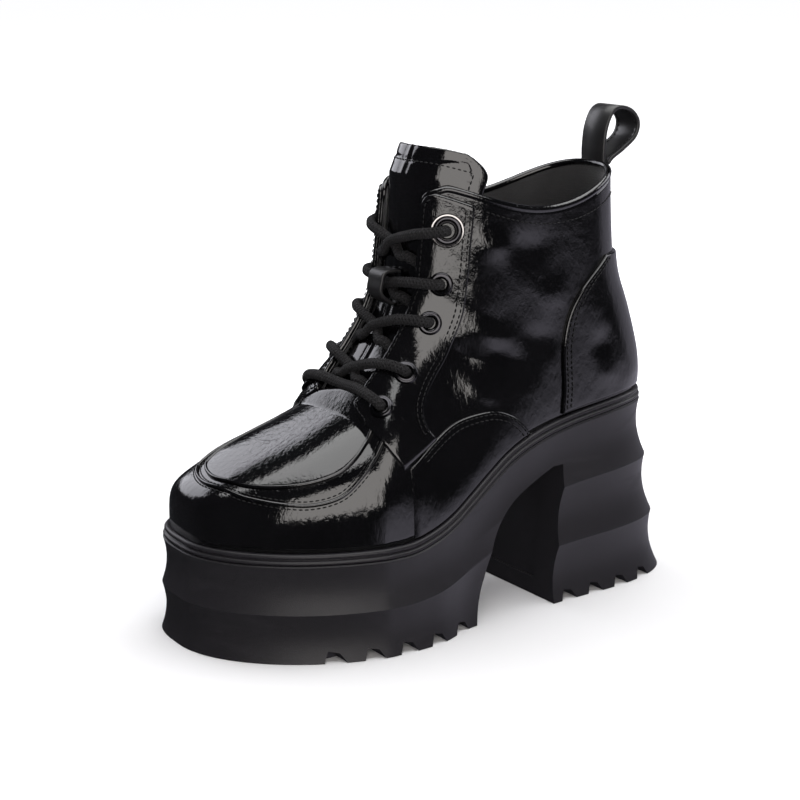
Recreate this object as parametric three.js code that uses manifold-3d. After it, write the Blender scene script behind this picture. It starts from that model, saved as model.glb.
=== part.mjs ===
// Left platform ankle boot, laced, with a moulded platform sole and block heel.
// Millimetres, +Z up. The toe points to -Y, the outer (lateral) side faces +X,
// and the tread stands on z = 0.
import * as THREE from 'three';
import * as BufferGeometryUtils from 'three/addons/utils/BufferGeometryUtils.js';
import Module from 'manifold-3d';

const wasm = await Module();
wasm.setup();

// Driving dimensions of the last and the feather line, where the upper meets the welt
const TOE_REACH = 65;          // ball section to toe tip
const FOOT_REACH = 164.5;       // ball section to back of heel seat
const BALL_LATERAL = 46;       // half widths at the ball, from the ridge line
const BALL_MEDIAL = 44;
const HEEL_HALF = 31;
const TOE_SWING = 16;          // toe tip's inward offset from the ball's ridge line
const BALL_SWING = 3;
const BALL_Y = -45;
const PLATFORM_TOP = 48.5;     // feather line above the floor at the ball
const SEAT_RISE = 45;          // heel seat above the platform
const INSTEP_HEIGHT = 50;      // ridge above feather line at the ball
const TOE_HEIGHT = 26.5;
const SHAFT_HEIGHT = 198;      // back of the collar above the floor
const COLLAR_DIP = 14;
const SHAFT_HALF = 31.5;
const ANKLE_RISE = 62;         // height over which the foot narrows to the shaft
const HEEL_ROUND = 44;         // length over which the heel rounds in
const BACK_LEAN = 18.5;        // seat back stands this far behind the collar back
const SHAFT_FRONT = -10.5;      // y of the closed form's front at the collar

// Walls, clearances and small pieces
const WALL = 2.2;
const FIT = 0.3;
const OVERLAY = 1.1;
const OVERLAY_GAP = 0.55;
const THROAT_HALF = 15.5;
const COLLAR_CORNER = 7;       // rounding of the throat's top corners
const WELT_HEIGHT = 4.6;
const WELT_OUT = 1.6;
const WELT_IN = 6;
const LIP_OUT = 3;
const INSOLE_THICK = 4;
const HEEL_FLARE = 15.5;
const BREAST_Y = 53;
const BREAST_LEAN = 6;
const HEEL_BLEND = 45;         // start of the heel's scallops behind the ball
const ARCH_FRONT_Y = 7;
const ARCH_TOP = 66;
const ARCH_SPAN = 46;
const SCALLOP_FORE = 1.9;
const SCALLOP_HEEL = 2.6;
const TREAD_OUT = 1.6;
const TREAD_NARROW = 5;
const LUG_DEPTH = 5;
const LUG_PITCH = 16.5;
const LUG_REACH = 13;
const TONGUE_THICK = 3.6;
const TONGUE_TUCK = WALL + FIT * 3;
const TONGUE_HALF = 46;
const TONGUE_RISE = 13;
const TONGUE_BASE = 20;
const TONGUE_LEAN = 6;
const EYESTAY_WIDTH = 25;
const COUNTER_TOP = 160;
const LACE_DIAMETER = 4.4;
const LACE_CLEAR = 0.5;
const EYELET_OUTER = 10.6;
const EYELET_HOLE = 5;
const TOP_EYELET_OUTER = 15;
const TOP_EYELET_HOLE = 6.4;
const EYELET_HEIGHT = 1.5;
const LOOP_WIDTH = 16;
const LOOP_HEIGHT = 27;
const LOOP_THICK = 1.8;
const KEEPER_WIDTH = 11;
const KEEPER_SPAN = 0.08;      // half its length as a share of the fan
const KEEPER_THICK = 1.4;
const KEEPER_ARCH = 3;

// Shares of TOE_REACH and FOOT_REACH in front of and behind the ball section,
// with the feather line's rise in shares of SEAT_RISE and the half widths in shares of the ball's
const foot = [
  { at: 0.00, rise: 0.000, lateral: 1.000, medial: 1.000 },
  { at: 0.08, rise: 0.010, lateral: 1.000, medial: 0.990 },
  { at: 0.16, rise: 0.085, lateral: 0.970, medial: 0.950 },
  { at: 0.22, rise: 0.180, lateral: 0.930, medial: 0.900 },
  { at: 0.28, rise: 0.320, lateral: 0.885, medial: 0.845 },
  { at: 0.35, rise: 0.500, lateral: 0.840, medial: 0.790 },
  { at: 0.42, rise: 0.665, lateral: 0.800, medial: 0.755 },
  { at: 0.50, rise: 0.790, lateral: 0.765, medial: 0.735 },
  { at: 0.60, rise: 0.875, lateral: 0.715, medial: 0.725 },
  { at: 0.72, rise: 0.945, lateral: 0.690, medial: 0.720 },
  { at: 0.85, rise: 0.995, lateral: 0.680, medial: 0.710 },
  { at: 1.00, rise: 1.000, lateral: 0.680, medial: 0.710 },
];
// Ridge of the toe: shares of TOE_REACH forward of the ball, height above the toe's own height
// in shares of the instep's surplus
const toeRidge = [
  { at: 0.00, up: 1.00 },
  { at: 0.23, up: 0.69 },
  { at: 0.54, up: 0.32 },
  { at: 0.80, up: 0.05 },
  { at: 1.00, up: 0.00 },
];
// Fan sections from the feather line or the back seam to the ridge. foot: share of FOOT_REACH;
// seam: share of the back seam's height; front: share of the way from the ball's ridge to the
// shaft's front; rise: share of the ridge's climb; round: exponent of the section's crown
const fan = [
  { foot: 0.00, seam: 0.00, front: 0.000, rise: 0.000, round: 3.0 },
  { foot: 0.10, seam: 0.00, front: 0.130, rise: 0.075, round: 3.0 },
  { foot: 0.22, seam: 0.00, front: 0.300, rise: 0.160, round: 2.9 },
  { foot: 0.36, seam: 0.00, front: 0.520, rise: 0.262, round: 2.8 },
  { foot: 0.52, seam: 0.00, front: 0.710, rise: 0.370, round: 2.7 },
  { foot: 0.70, seam: 0.00, front: 0.820, rise: 0.465, round: 2.6 },
  { foot: 0.88, seam: 0.00, front: 0.885, rise: 0.540, round: 2.5 },
  { foot: 1.00, seam: 0.00, front: 0.910, rise: 0.600, round: 2.5 },
  { foot: 1.00, seam: 0.17, front: 0.930, rise: 0.672, round: 2.5 },
  { foot: 1.00, seam: 0.36, front: 0.950, rise: 0.745, round: 2.5 },
  { foot: 1.00, seam: 0.55, front: 0.965, rise: 0.820, round: 2.5 },
  { foot: 1.00, seam: 0.77, front: 0.985, rise: 0.905, round: 2.5 },
  { foot: 1.00, seam: 1.00, front: 1.000, rise: 1.000, round: 2.5 },
];
// Back seam: shares of its height and of BACK_LEAN
const backSeam = [
  { at: 0.00, out: 1.00 },
  { at: 0.09, out: 1.01 },
  { at: 0.19, out: 0.92 },
  { at: 0.37, out: 0.60 },
  { at: 0.55, out: 0.22 },
  { at: 0.75, out: 0.08 },
  { at: 1.00, out: 0.00 },
];

function clamp(value, low, high) {
  return Math.min(high, Math.max(low, value));
}

function smooth(from, to, value) {
  const share = clamp((value - from) / (to - from), 0, 1);
  return share * share * (3 - 2 * share);
}

// Catmull-Rom value of column `name` at `at` in a table sorted by column `key`
function read(table, key, name, at) {
  const last = table.length - 1;
  let row = 0;
  while (row < last - 1 && table[row + 1][key] <= at) row += 1;
  const left = table[row];
  const right = table[row + 1];
  const before = table[Math.max(row - 1, 0)];
  const after = table[Math.min(row + 2, last)];
  const width = right[key] - left[key];
  const share = clamp((at - left[key]) / width, 0, 1);
  const slope = (a, b) => (b[key] === a[key] ? 0 : ((b[name] - a[name]) / (b[key] - a[key])) * width);
  const leftSlope = slope(before, right);
  const rightSlope = slope(left, after);
  const square = share * share;
  const cube = square * share;
  return (2 * cube - 3 * square + 1) * left[name] + (cube - 2 * square + share) * leftSlope
    + (3 * square - 2 * cube) * right[name] + (cube - square) * rightSlope;
}

const BACK_Y = BALL_Y + FOOT_REACH;
const SEAT_TOP = PLATFORM_TOP + SEAT_RISE;
const SEAM_HEIGHT = SHAFT_HEIGHT - SEAT_TOP;
const RIDGE_AT_BALL = PLATFORM_TOP + INSTEP_HEIGHT;
const LATERAL_ROUND = 2;
const MEDIAL_ROUND = 3.1;
const BACK_ROUND = 2.3;

function featherZ(y) {
  return PLATFORM_TOP + SEAT_RISE * read(foot, 'at', 'rise', (y - BALL_Y) / FOOT_REACH);
}

function ridgeX(y) {
  const forward = clamp((BALL_Y - y) / TOE_REACH, 0, 1);
  return -BALL_SWING * (1 - smooth(BALL_Y, -BALL_Y, y)) - (TOE_SWING - BALL_SWING) * forward;
}

function backY(z) {
  const share = clamp((z - SEAT_TOP) / SEAM_HEIGHT, 0, 1);
  return BACK_Y - BACK_LEAN + BACK_LEAN * read(backSeam, 'at', 'out', share);
}

function roundIn(share, power) {
  return (1 - (1 - clamp(share, 0, 1)) ** power) ** (1 / power);
}

// Half width of the foot and shaft before the crown takes it in, at a place in the side view
function bodyHalf(side, y, z) {
  const share = (y - BALL_Y) / FOOT_REACH;
  const ball = side > 0 ? BALL_LATERAL : BALL_MEDIAL;
  const low = ball * read(foot, 'at', side > 0 ? 'lateral' : 'medial', share);
  const up = smooth(0, ANKLE_RISE, z - featherZ(y)) * smooth(BALL_Y, 0, y);
  return low + (SHAFT_HALF - low) * up;
}

// Lengthwise ends of the feather line's half outlines, from the back seam to the toe tip
const BACK_STEPS = 7;
const BODY_STEPS = 11;
const TOE_STEPS = 8;

function featherSide(side) {
  const points = [];
  const power = side > 0 ? LATERAL_ROUND : MEDIAL_ROUND;
  for (let step = 0; step <= BACK_STEPS; step += 1) {
    const angle = (Math.PI / 2) * (step / BACK_STEPS);
    const y = BACK_Y - HEEL_ROUND * (1 - Math.cos(angle) ** (2 / BACK_ROUND));
    points.push(featherPoint(side, y));
  }
  const start = BACK_Y - HEEL_ROUND;
  for (let step = 1; step <= BODY_STEPS; step += 1) {
    points.push(featherPoint(side, start + (BALL_Y - start) * (step / BODY_STEPS)));
  }
  for (let step = 1; step <= TOE_STEPS; step += 1) {
    const angle = (Math.PI / 2) * (step / TOE_STEPS);
    points.push(featherPoint(side, BALL_Y - TOE_REACH * Math.sin(angle) ** (2 / power)));
  }
  return points;
}

function featherPoint(side, y) {
  if (y < BALL_Y) {
    const forward = clamp((BALL_Y - y) / TOE_REACH, 0, 1);
    const power = side > 0 ? LATERAL_ROUND : MEDIAL_ROUND;
    const half = (side > 0 ? BALL_LATERAL : BALL_MEDIAL) * (1 - forward ** power) ** (1 / power);
    return { x: ridgeX(y) + side * half, y };
  }
  const half = bodyHalf(side, y, featherZ(y)) * roundIn((BACK_Y - y) / HEEL_ROUND, BACK_ROUND);
  return { x: ridgeX(y) * (half > 0 ? 1 : 0) + side * half, y };
}

// Closed feather line: back centre, lateral side, toe tip, medial side. Point i and point
// count - i face each other across the foot.
const lateralLine = featherSide(1);
const medialLine = featherSide(-1);
const featherLoop = [...lateralLine, ...medialLine.slice(1, -1).reverse()];
const LOOP_COUNT = featherLoop.length;
const TOE_INDEX = lateralLine.length - 1;

function loopNormal(index) {
  const before = featherLoop[(index + LOOP_COUNT - 1) % LOOP_COUNT];
  const after = featherLoop[(index + 1) % LOOP_COUNT];
  const length = Math.hypot(after.x - before.x, after.y - before.y);
  return { x: -(after.y - before.y) / length, y: (after.x - before.x) / length };
}

const loopNormals = featherLoop.map((_, index) => loopNormal(index));

function meshOf(positions, indices) {
  const geometry = new THREE.BufferGeometry();
  geometry.setAttribute('position', new THREE.Float32BufferAttribute(positions, 3));
  geometry.setIndex(indices);
  return geometry;
}

function solidOf(geometry) {
  const plain = geometry.clone();
  plain.deleteAttribute('normal');
  plain.deleteAttribute('uv');
  const merged = BufferGeometryUtils.mergeVertices(plain, 1e-4);
  return new wasm.Manifold(new wasm.Mesh({
    numProp: 3,
    vertProperties: new Float32Array(merged.getAttribute('position').array),
    triVerts: new Uint32Array(merged.index.array),
  }));
}

function geometryOf(solid) {
  const mesh = solid.getMesh();
  const geometry = meshOf(Array.from(mesh.vertProperties), Array.from(mesh.triVerts));
  geometry.computeVertexNormals();
  return geometry;
}

// Solid through rings of equal count. The rings run round the foot, so point i and point
// count - i close the end caps like the rungs of a ladder.
function ringLoft(rings) {
  const count = rings[0].length;
  const positions = rings.flat().flatMap((point) => [point.x, point.y, point.z]);
  const indices = [];
  for (let ring = 0; ring + 1 < rings.length; ring += 1) {
    for (let i = 0; i < count; i += 1) {
      const a = ring * count + i;
      const b = ring * count + ((i + 1) % count);
      indices.push(a, a + count, b, b, a + count, b + count);
    }
  }
  const cap = (base, up) => {
    const other = (i) => base + ((count - i) % count);
    const face = (a, b, c) => (up ? indices.push(a, c, b) : indices.push(a, b, c));
    for (let i = 0; i < TOE_INDEX; i += 1) {
      if (i > 0) face(base + i, base + i + 1, other(i));
      if (i + 1 < TOE_INDEX) face(base + i + 1, other(i + 1), other(i));
    }
  };
  cap(0, false);
  cap((rings.length - 1) * count, true);
  return meshOf(positions, indices);
}

// Closed band round the foot through rings that make a closed section
function bandLoft(rings) {
  const count = rings[0].length;
  const positions = rings.flat().flatMap((point) => [point.x, point.y, point.z]);
  const indices = [];
  for (let ring = 0; ring < rings.length; ring += 1) {
    const next = ((ring + 1) % rings.length) * count;
    for (let i = 0; i < count; i += 1) {
      const a = ring * count + i;
      const b = ring * count + ((i + 1) % count);
      const c = next + i;
      const d = next + ((i + 1) % count);
      indices.push(a, b, c, b, d, c);
    }
  }
  return meshOf(positions, indices);
}

function footRing(out, height) {
  return featherLoop.map((point, index) => {
    const grow = typeof out === 'function' ? out(point) : out;
    const x = point.x + loopNormals[index].x * grow;
    const y = point.y + loopNormals[index].y * grow;
    return { x, y, z: height(point) };
  });
}

// Sole: side waves in two bands on the platform and three on the heel
function wave(share, bands) {
  return Math.sin(Math.PI * ((share * bands) % 1)) ** 0.9;
}

const WELT_BASE = WELT_HEIGHT + FIT * 2;
const soleTop = (point) => featherZ(point.y) - WELT_BASE;

function soleRing(share) {
  const heelPart = (point) => smooth(BALL_Y + HEEL_BLEND, BREAST_Y, point.y);
  const out = (point) => {
    const narrow = TREAD_NARROW * smooth(BALL_Y / 2, ARCH_FRONT_Y, point.y);
    const fore = -SCALLOP_FORE * wave(share, 2) + (1 - share) * (TREAD_OUT - narrow);
    const heel = -SCALLOP_HEEL * wave(share, 3);
    return LIP_OUT + fore + (heel - fore) * heelPart(point);
  };
  return footRing(out, (point) => share * soleTop(point)).map((point) => {
    const back = smooth(BREAST_Y, BACK_Y, point.y);
    return { x: point.x, y: point.y + HEEL_FLARE * (1 - share) ** 1.15 * back, z: point.z };
  });
}

const SIDE_ROWS = 14;
const soleRings = [];
for (let row = 0; row <= SIDE_ROWS; row += 1) soleRings.push(soleRing(row / SIDE_ROWS));
let sole = solidOf(ringLoft(soleRings));

// Extruded side-view shape, with its points as y and z, across x from low to high
function acrossFoot(points, low, high) {
  const shape = new THREE.Shape(points.map(([y, z]) => new THREE.Vector2(y, z)));
  const geometry = new THREE.ExtrudeGeometry(shape, { depth: high - low, bevelEnabled: false });
  geometry.applyMatrix4(new THREE.Matrix4().set(0, 0, 1, low, 1, 0, 0, 0, 0, 1, 0, 0, 0, 0, 0, 1));
  return solidOf(geometry);
}

// Arch: shares of ARCH_SPAN behind ARCH_FRONT_Y and of ARCH_TOP
const arch = [
  { back: 0.00, up: 0.00 },
  { back: 0.03, up: 0.14 },
  { back: 0.09, up: 0.33 },
  { back: 0.17, up: 0.52 },
  { back: 0.28, up: 0.70 },
  { back: 0.42, up: 0.81 },
  { back: 0.60, up: 0.89 },
  { back: 0.80, up: 0.95 },
  { back: 1.00, up: 1.00 },
];
const FAR = 90;
const archPoints = arch.map((row) => [ARCH_FRONT_Y + row.back * ARCH_SPAN, row.up * ARCH_TOP]);
archPoints.push([BREAST_Y + BREAST_LEAN, ARCH_TOP]);
archPoints.push([BREAST_Y, 0]);
archPoints.push([BREAST_Y, -FAR]);
archPoints.push([ARCH_FRONT_Y, -FAR]);
sole = sole.subtract(acrossFoot(archPoints, -FAR, FAR));

// Saw-tooth notches in the tread's edges, cut inward from the side face to LUG_REACH
const FORE_LUGS = 5;
const HEEL_LUGS = 4;
function lugNotch(y, edge) {
  const tooth = [[y, -1], [y + LUG_PITCH * 0.15, LUG_DEPTH], [y + LUG_PITCH * 0.42, LUG_DEPTH * 0.8],
    [y + LUG_PITCH * 0.62, -1]];
  const side = Math.sign(edge);
  const deep = edge - side * LUG_REACH;
  return acrossFoot(tooth, Math.min(deep, side * FAR), Math.max(deep, side * FAR));
}

for (let lug = 0; lug < FORE_LUGS; lug += 1) {
  const y = ARCH_FRONT_Y - LUG_PITCH * (lug + 0.9);
  sole = sole.subtract(lugNotch(y, BALL_LATERAL));
  sole = sole.subtract(lugNotch(y, -BALL_MEDIAL));
}
for (let lug = 0; lug < HEEL_LUGS; lug += 1) {
  const y = BREAST_Y + LUG_PITCH * (lug + 0.3);
  sole = sole.subtract(lugNotch(y, HEEL_HALF));
  sole = sole.subtract(lugNotch(y, -HEEL_HALF));
}

// Welt and insole
const weltLow = (point) => featherZ(point.y) - FIT - WELT_HEIGHT;
const weltHigh = (point) => featherZ(point.y) - FIT;
const weltRings = [
  footRing(-WELT_IN, weltLow),
  footRing(-WELT_IN, weltHigh),
  footRing(WELT_OUT * 0.5, weltHigh),
  footRing(WELT_OUT, (point) => weltHigh(point) - WELT_HEIGHT * 0.2),
  footRing(WELT_OUT, (point) => weltHigh(point) - WELT_HEIGHT * 0.5),
  footRing(WELT_OUT * 1.3, (point) => weltHigh(point) - WELT_HEIGHT * 0.6),
  footRing(WELT_OUT * 1.3, weltLow),
];
const welt = bandLoft(weltRings);
const insole = ringLoft([
  footRing(-WELT_IN - FIT, weltLow),
  footRing(-WELT_IN - FIT, (point) => weltLow(point) + INSOLE_THICK),
]);

// Upper: a sheet of columns from the feather line or back seam to the ridge
const ROWS = 13;
const ARC_STEPS = 40;
const TONGUE_START = 0.05;
const TONGUE_COLLAR = 0.86;
const EYESTAY_START = 0.075;
const EYESTAY_ROWS = 15;
const EYESTAY_COLUMNS = 7;
const COUNTER_COLUMNS = 13;
const COUNTER_ROWS = 9;
const KEEPER_ROWS = 10;
const LOOP_STEPS = 30;
const BODY_COLUMNS = 11;
const SEAM_COLUMNS = 9;
const TOE_COLUMNS = 16;
const THROAT_START = 0.03;

function fanRow(s) {
  const at = s * (fan.length - 1);
  const rows = fan.map((row, index) => ({ ...row, index }));
  const value = (name) => read(rows, 'index', name, at);
  return { foot: value('foot'), seam: value('seam'), front: value('front'), rise: value('rise'),
    round: value('round') };
}

function fanEnds(s) {
  const row = fanRow(s);
  const lowY = row.seam > 1e-6 ? backY(SEAT_TOP + row.seam * SEAM_HEIGHT) : BALL_Y + row.foot * FOOT_REACH;
  const lowZ = row.seam > 1e-6 ? SEAT_TOP + row.seam * SEAM_HEIGHT : featherZ(lowY);
  const highY = BALL_Y + row.front * (SHAFT_FRONT - BALL_Y);
  const highZ = RIDGE_AT_BALL + row.rise * (SHAFT_HEIGHT - RIDGE_AT_BALL);
  return { lowY, lowZ, highY, highZ, round: row.round };
}

// Point of the outer form at fan share s and share t from foot (0) to ridge (1)
function bodyPoint(side, s, t) {
  const ends = fanEnds(s);
  const dip = COLLAR_DIP * smooth(0.55, 1, s) * Math.sin(Math.PI * clamp(t, 0, 1) ** 0.92) ** 1.3;
  const y = ends.lowY + (ends.highY - ends.lowY) * t;
  const z = ends.lowZ + (ends.highZ - ends.lowZ) * t - dip;
  const reach = Math.hypot(ends.highY - ends.lowY, ends.highZ - ends.lowZ);
  const crown = roundIn(((1 - clamp(t, 0, 1)) * reach) / INSTEP_HEIGHT, ends.round);
  const back = roundIn((backY(z) - y) / HEEL_ROUND, BACK_ROUND);
  const half = bodyHalf(side, y, z) * crown * back;
  return new THREE.Vector3(ridgeX(y) + side * half, y, z);
}

// Share t at which the upper's edge lies at the throat, 1 where the vamp is closed
function throatEdge(side, s) {
  if (s <= THROAT_START) return 1;
  const corner = COLLAR_CORNER * smooth(0.93, 1, s) ** 2;
  const wanted = THROAT_HALF * smooth(THROAT_START, THROAT_START + 0.07, s) ** 0.4 + corner;
  let low = 0.5;
  let high = 1;
  for (let turn = 0; turn < 40; turn += 1) {
    const middle = (low + high) / 2;
    const point = bodyPoint(side, s, middle);
    if (Math.abs(point.x - ridgeX(point.y)) > wanted) low = middle;
    else high = middle;
  }
  return high;
}

// Point of the toe at angle turn (0 lateral, 1 medial) and share t from feather to ball ridge
function toePoint(turn, t) {
  const angle = Math.PI * turn;
  const side = Math.cos(angle) >= 0 ? 1 : -1;
  const power = LATERAL_ROUND + (MEDIAL_ROUND - LATERAL_ROUND) * smooth(0.3, 0.7, turn);
  const round = 3 + 1.9 * smooth(0, 0.5, 0.5 - Math.abs(turn - 0.5));
  const tilt = (Math.PI / 2) * t;
  const rho = Math.cos(tilt) ** (2 / round);
  const lift = Math.sin(tilt) ** (2 / round);
  const ball = side > 0 ? BALL_LATERAL : BALL_MEDIAL;
  const across = ball * rho * Math.abs(Math.cos(angle)) ** (2 / power);
  const forward = rho * Math.sin(angle) ** (2 / power);
  const y = BALL_Y - TOE_REACH * forward;
  const low = featherZ(y);
  const surplus = INSTEP_HEIGHT - TOE_HEIGHT;
  const high = TOE_HEIGHT + surplus * read(toeRidge, 'at', 'up', forward);
  return new THREE.Vector3(ridgeX(y) + side * across, y, low + high * lift);
}

// Fan shares of the columns: even along the foot, crowded where the heel rounds in, and even
// again up the back seam
function fanShareOfFoot(share) {
  let low = 0;
  let high = SEAT_SHARE;
  for (let turn = 0; turn < 40; turn += 1) {
    const middle = (low + high) / 2;
    if (fanRow(middle).foot < share) low = middle;
    else high = middle;
  }
  return high;
}

const SEAT_SHARE = fan.findIndex((row) => row.foot === 1) / (fan.length - 1);
const roundStart = 1 - HEEL_ROUND / FOOT_REACH;
const fanShares = [];
for (let step = 1; step <= BODY_COLUMNS; step += 1) {
  fanShares.push(fanShareOfFoot((roundStart * step) / BODY_COLUMNS));
}
for (let step = 1; step <= BACK_STEPS; step += 1) {
  const angle = (Math.PI / 2) * (step / BACK_STEPS);
  const share = 1 - (HEEL_ROUND / FOOT_REACH) * (1 - Math.sin(angle) ** (2 / BACK_ROUND));
  fanShares.push(step < BACK_STEPS ? fanShareOfFoot(share) : SEAT_SHARE);
}
for (let step = 1; step <= SEAM_COLUMNS; step += 1) {
  fanShares.push(SEAT_SHARE + (1 - SEAT_SHARE) * (step / SEAM_COLUMNS));
}

// Columns run from the lateral collar, round the toe, to the medial collar
function upperColumns() {
  const columns = [];
  const bodyColumn = (side, s) => {
    const edge = throatEdge(side, s);
    const ends = fanEnds(s);
    const onSeam = smooth(0.25, 0.5, s);
    const column = [];
    for (let row = 0; row <= ROWS; row += 1) {
      const crown = Math.sin((Math.PI / 2) * (row / ROWS)) ** (2 / ends.round);
      const even = 0.5 - 0.5 * Math.cos(Math.PI * (row / ROWS));
      const t = edge * (crown + (even - crown) * onSeam);
      column.push(bodyPoint(side, s, Math.min(t, edge)));
    }
    return column;
  };
  for (const s of [...fanShares].reverse()) columns.push(bodyColumn(1, s));
  for (let step = 0; step <= TOE_COLUMNS; step += 1) {
    const column = [];
    for (let row = 0; row <= ROWS; row += 1) column.push(toePoint(step / TOE_COLUMNS, row / ROWS));
    columns.push(column);
  }
  for (const s of fanShares) columns.push(bodyColumn(-1, s));
  return columns;
}

// Open sheet of columns, with equal points merged
function sheetOf(columns) {
  const positions = columns.flat().flatMap((point) => [point.x, point.y, point.z]);
  const rows = columns[0].length;
  const indices = [];
  for (let column = 0; column + 1 < columns.length; column += 1) {
    for (let row = 0; row + 1 < rows; row += 1) {
      const a = column * rows + row;
      indices.push(a, a + 1, a + rows, a + rows, a + 1, a + rows + 1);
    }
  }
  const merged = BufferGeometryUtils.mergeVertices(meshOf(positions, indices), 0.05);
  const kept = [];
  const index = merged.index.array;
  for (let i = 0; i < index.length; i += 3) {
    const [a, b, c] = [index[i], index[i + 1], index[i + 2]];
    if (a !== b && b !== c && a !== c) kept.push(a, b, c);
  }
  merged.setIndex(kept);
  return merged;
}

// Solid between a sheet moved along its normals by `outer` and by `inner`, numbers or functions
// of the place
function thicken(sheet, outer, inner, adjust = null) {
  const outerAt = typeof outer === 'function' ? outer : () => outer;
  const innerAt = typeof inner === 'function' ? inner : () => inner;
  sheet.computeVertexNormals();
  const place = sheet.getAttribute('position');
  const normal = sheet.getAttribute('normal');
  if (adjust) adjust(place, normal);
  const count = place.count;
  const positions = [];
  for (const face of [outerAt, innerAt]) {
    for (let i = 0; i < count; i += 1) {
      const at = new THREE.Vector3().fromBufferAttribute(place, i);
      const reach = face(at);
      positions.push(place.getX(i) + normal.getX(i) * reach, place.getY(i) + normal.getY(i) * reach,
        place.getZ(i) + normal.getZ(i) * reach);
    }
  }
  const faces = sheet.index.array;
  const indices = [];
  const seen = new Map();
  for (let i = 0; i < faces.length; i += 3) {
    const tri = [faces[i], faces[i + 1], faces[i + 2]];
    indices.push(tri[0], tri[1], tri[2], tri[2] + count, tri[1] + count, tri[0] + count);
    for (let k = 0; k < 3; k += 1) {
      const key = `${tri[k]},${tri[(k + 1) % 3]}`;
      seen.set(key, [tri[k], tri[(k + 1) % 3]]);
    }
  }
  for (const [from, to] of seen.values()) {
    if (!seen.has(`${to},${from}`)) {
      indices.push(from, from + count, to, to, from + count, to + count);
    }
  }
  return meshOf(positions, indices);
}

// Keeps the wall's foot level where it stands on the welt
function levelFoot(place, normal) {
  for (let i = 0; i < place.count; i += 1) {
    if (Math.abs(place.getZ(i) - featherZ(place.getY(i))) < 0.02) {
      const level = new THREE.Vector3(normal.getX(i), normal.getY(i), 0).normalize();
      normal.setXYZ(i, level.x, level.y, 0);
    }
  }
}

const upperSheet = sheetOf(upperColumns());
const upper = thicken(upperSheet, 0, -WALL, levelFoot);

// Arc from the ridge down one side of a fan section, with the distance run at each point
function sectionArc(side, s) {
  const ends = fanEnds(s);
  const reach = Math.hypot(ends.highY - ends.lowY, ends.highZ - ends.lowZ);
  const arc = [];
  for (let step = 0; step <= ARC_STEPS; step += 1) {
    const inward = 1 - Math.cos((Math.PI / 2) * (step / ARC_STEPS)) ** (2 / ends.round);
    const t = 1 - (INSTEP_HEIGHT / reach) * inward;
    const point = bodyPoint(side, s, t);
    const run = step === 0 ? 0 : arc[step - 1].run + point.distanceTo(arc[step - 1].point);
    arc.push({ t, point, run });
  }
  return arc;
}

// Point of the outer form a given distance round from the ridge
function arcPoint(side, s, distance) {
  const arc = sectionArc(side, s);
  let row = 0;
  while (row < ARC_STEPS - 1 && arc[row + 1].run < distance) row += 1;
  const share = (distance - arc[row].run) / (arc[row + 1].run - arc[row].run);
  return new THREE.Vector3().lerpVectors(arc[row].point, arc[row + 1].point, share);
}

function arcNormal(side, s, distance) {
  const across = arcPoint(side, s, distance + 1).sub(arcPoint(side, s, distance - 1));
  const high = Math.min(1, s + 0.01);
  const along = arcPoint(side, high, distance).sub(arcPoint(side, s - 0.01, distance));
  const normal = new THREE.Vector3().crossVectors(along, across).normalize();
  return side > 0 ? normal.negate() : normal;
}

// Distance from the ridge to the throat's edge
function throatRun(side, s) {
  const edge = bodyPoint(side, s, throatEdge(side, s));
  const arc = sectionArc(side, s);
  let best = arc[0];
  for (const stop of arc) {
    if (stop.point.distanceTo(edge) < best.point.distanceTo(edge)) best = stop;
  }
  return best.run;
}

// Tongue: a sheet under the throat that follows the closed form inside the wall and rises above
// the collar
const TONGUE_ROWS = 14;
const TONGUE_COLUMNS = 8;
const tongueColumns = [];
for (let column = -TONGUE_COLUMNS; column <= TONGUE_COLUMNS; column += 1) {
  const side = column < 0 ? -1 : 1;
  const line = [];
  for (let row = 0; row <= TONGUE_ROWS; row += 1) {
    const up = row / TONGUE_ROWS;
    const s = TONGUE_START + (1 - TONGUE_START) * Math.min(1, up / TONGUE_COLLAR);
    const above = Math.max(0, up - TONGUE_COLLAR) / (1 - TONGUE_COLLAR);
    const half = TONGUE_BASE + (TONGUE_HALF - TONGUE_BASE) * smooth(0, 0.75, up);
    const corner = 1 - 0.3 * Math.max(0, (above - 0.25) / 0.75) ** 3;
    const point = arcPoint(side, s, half * corner * Math.abs(column / TONGUE_COLUMNS));
    point.z += COLLAR_DIP * 0.25 * smooth(0.8, 1, s) + above * TONGUE_RISE;
    point.y += above * TONGUE_LEAN;
    line.push(point);
  }
  tongueColumns.push(line);
}
const tongueSheet = sheetOf(tongueColumns.reverse());
const tongue = thicken(tongueSheet, -TONGUE_TUCK, -TONGUE_TUCK - TONGUE_THICK);

// Eyestays: raised facings on the quarters' front edges
function eyestay(side) {
  const lines = [];
  for (let row = 0; row <= EYESTAY_ROWS; row += 1) {
    const s = EYESTAY_START + (0.985 - EYESTAY_START) * (row / EYESTAY_ROWS);
    const from = throatRun(side, s) + 0.6;
    const line = [];
    for (let column = 0; column <= EYESTAY_COLUMNS; column += 1) {
      const end = THROAT_HALF + EYESTAY_WIDTH;
      line.push(arcPoint(side, s, from + (end - from) * (column / EYESTAY_COLUMNS)));
    }
    lines.push(line);
  }
  return sheetOf(side > 0 ? lines : lines.reverse());
}

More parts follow.
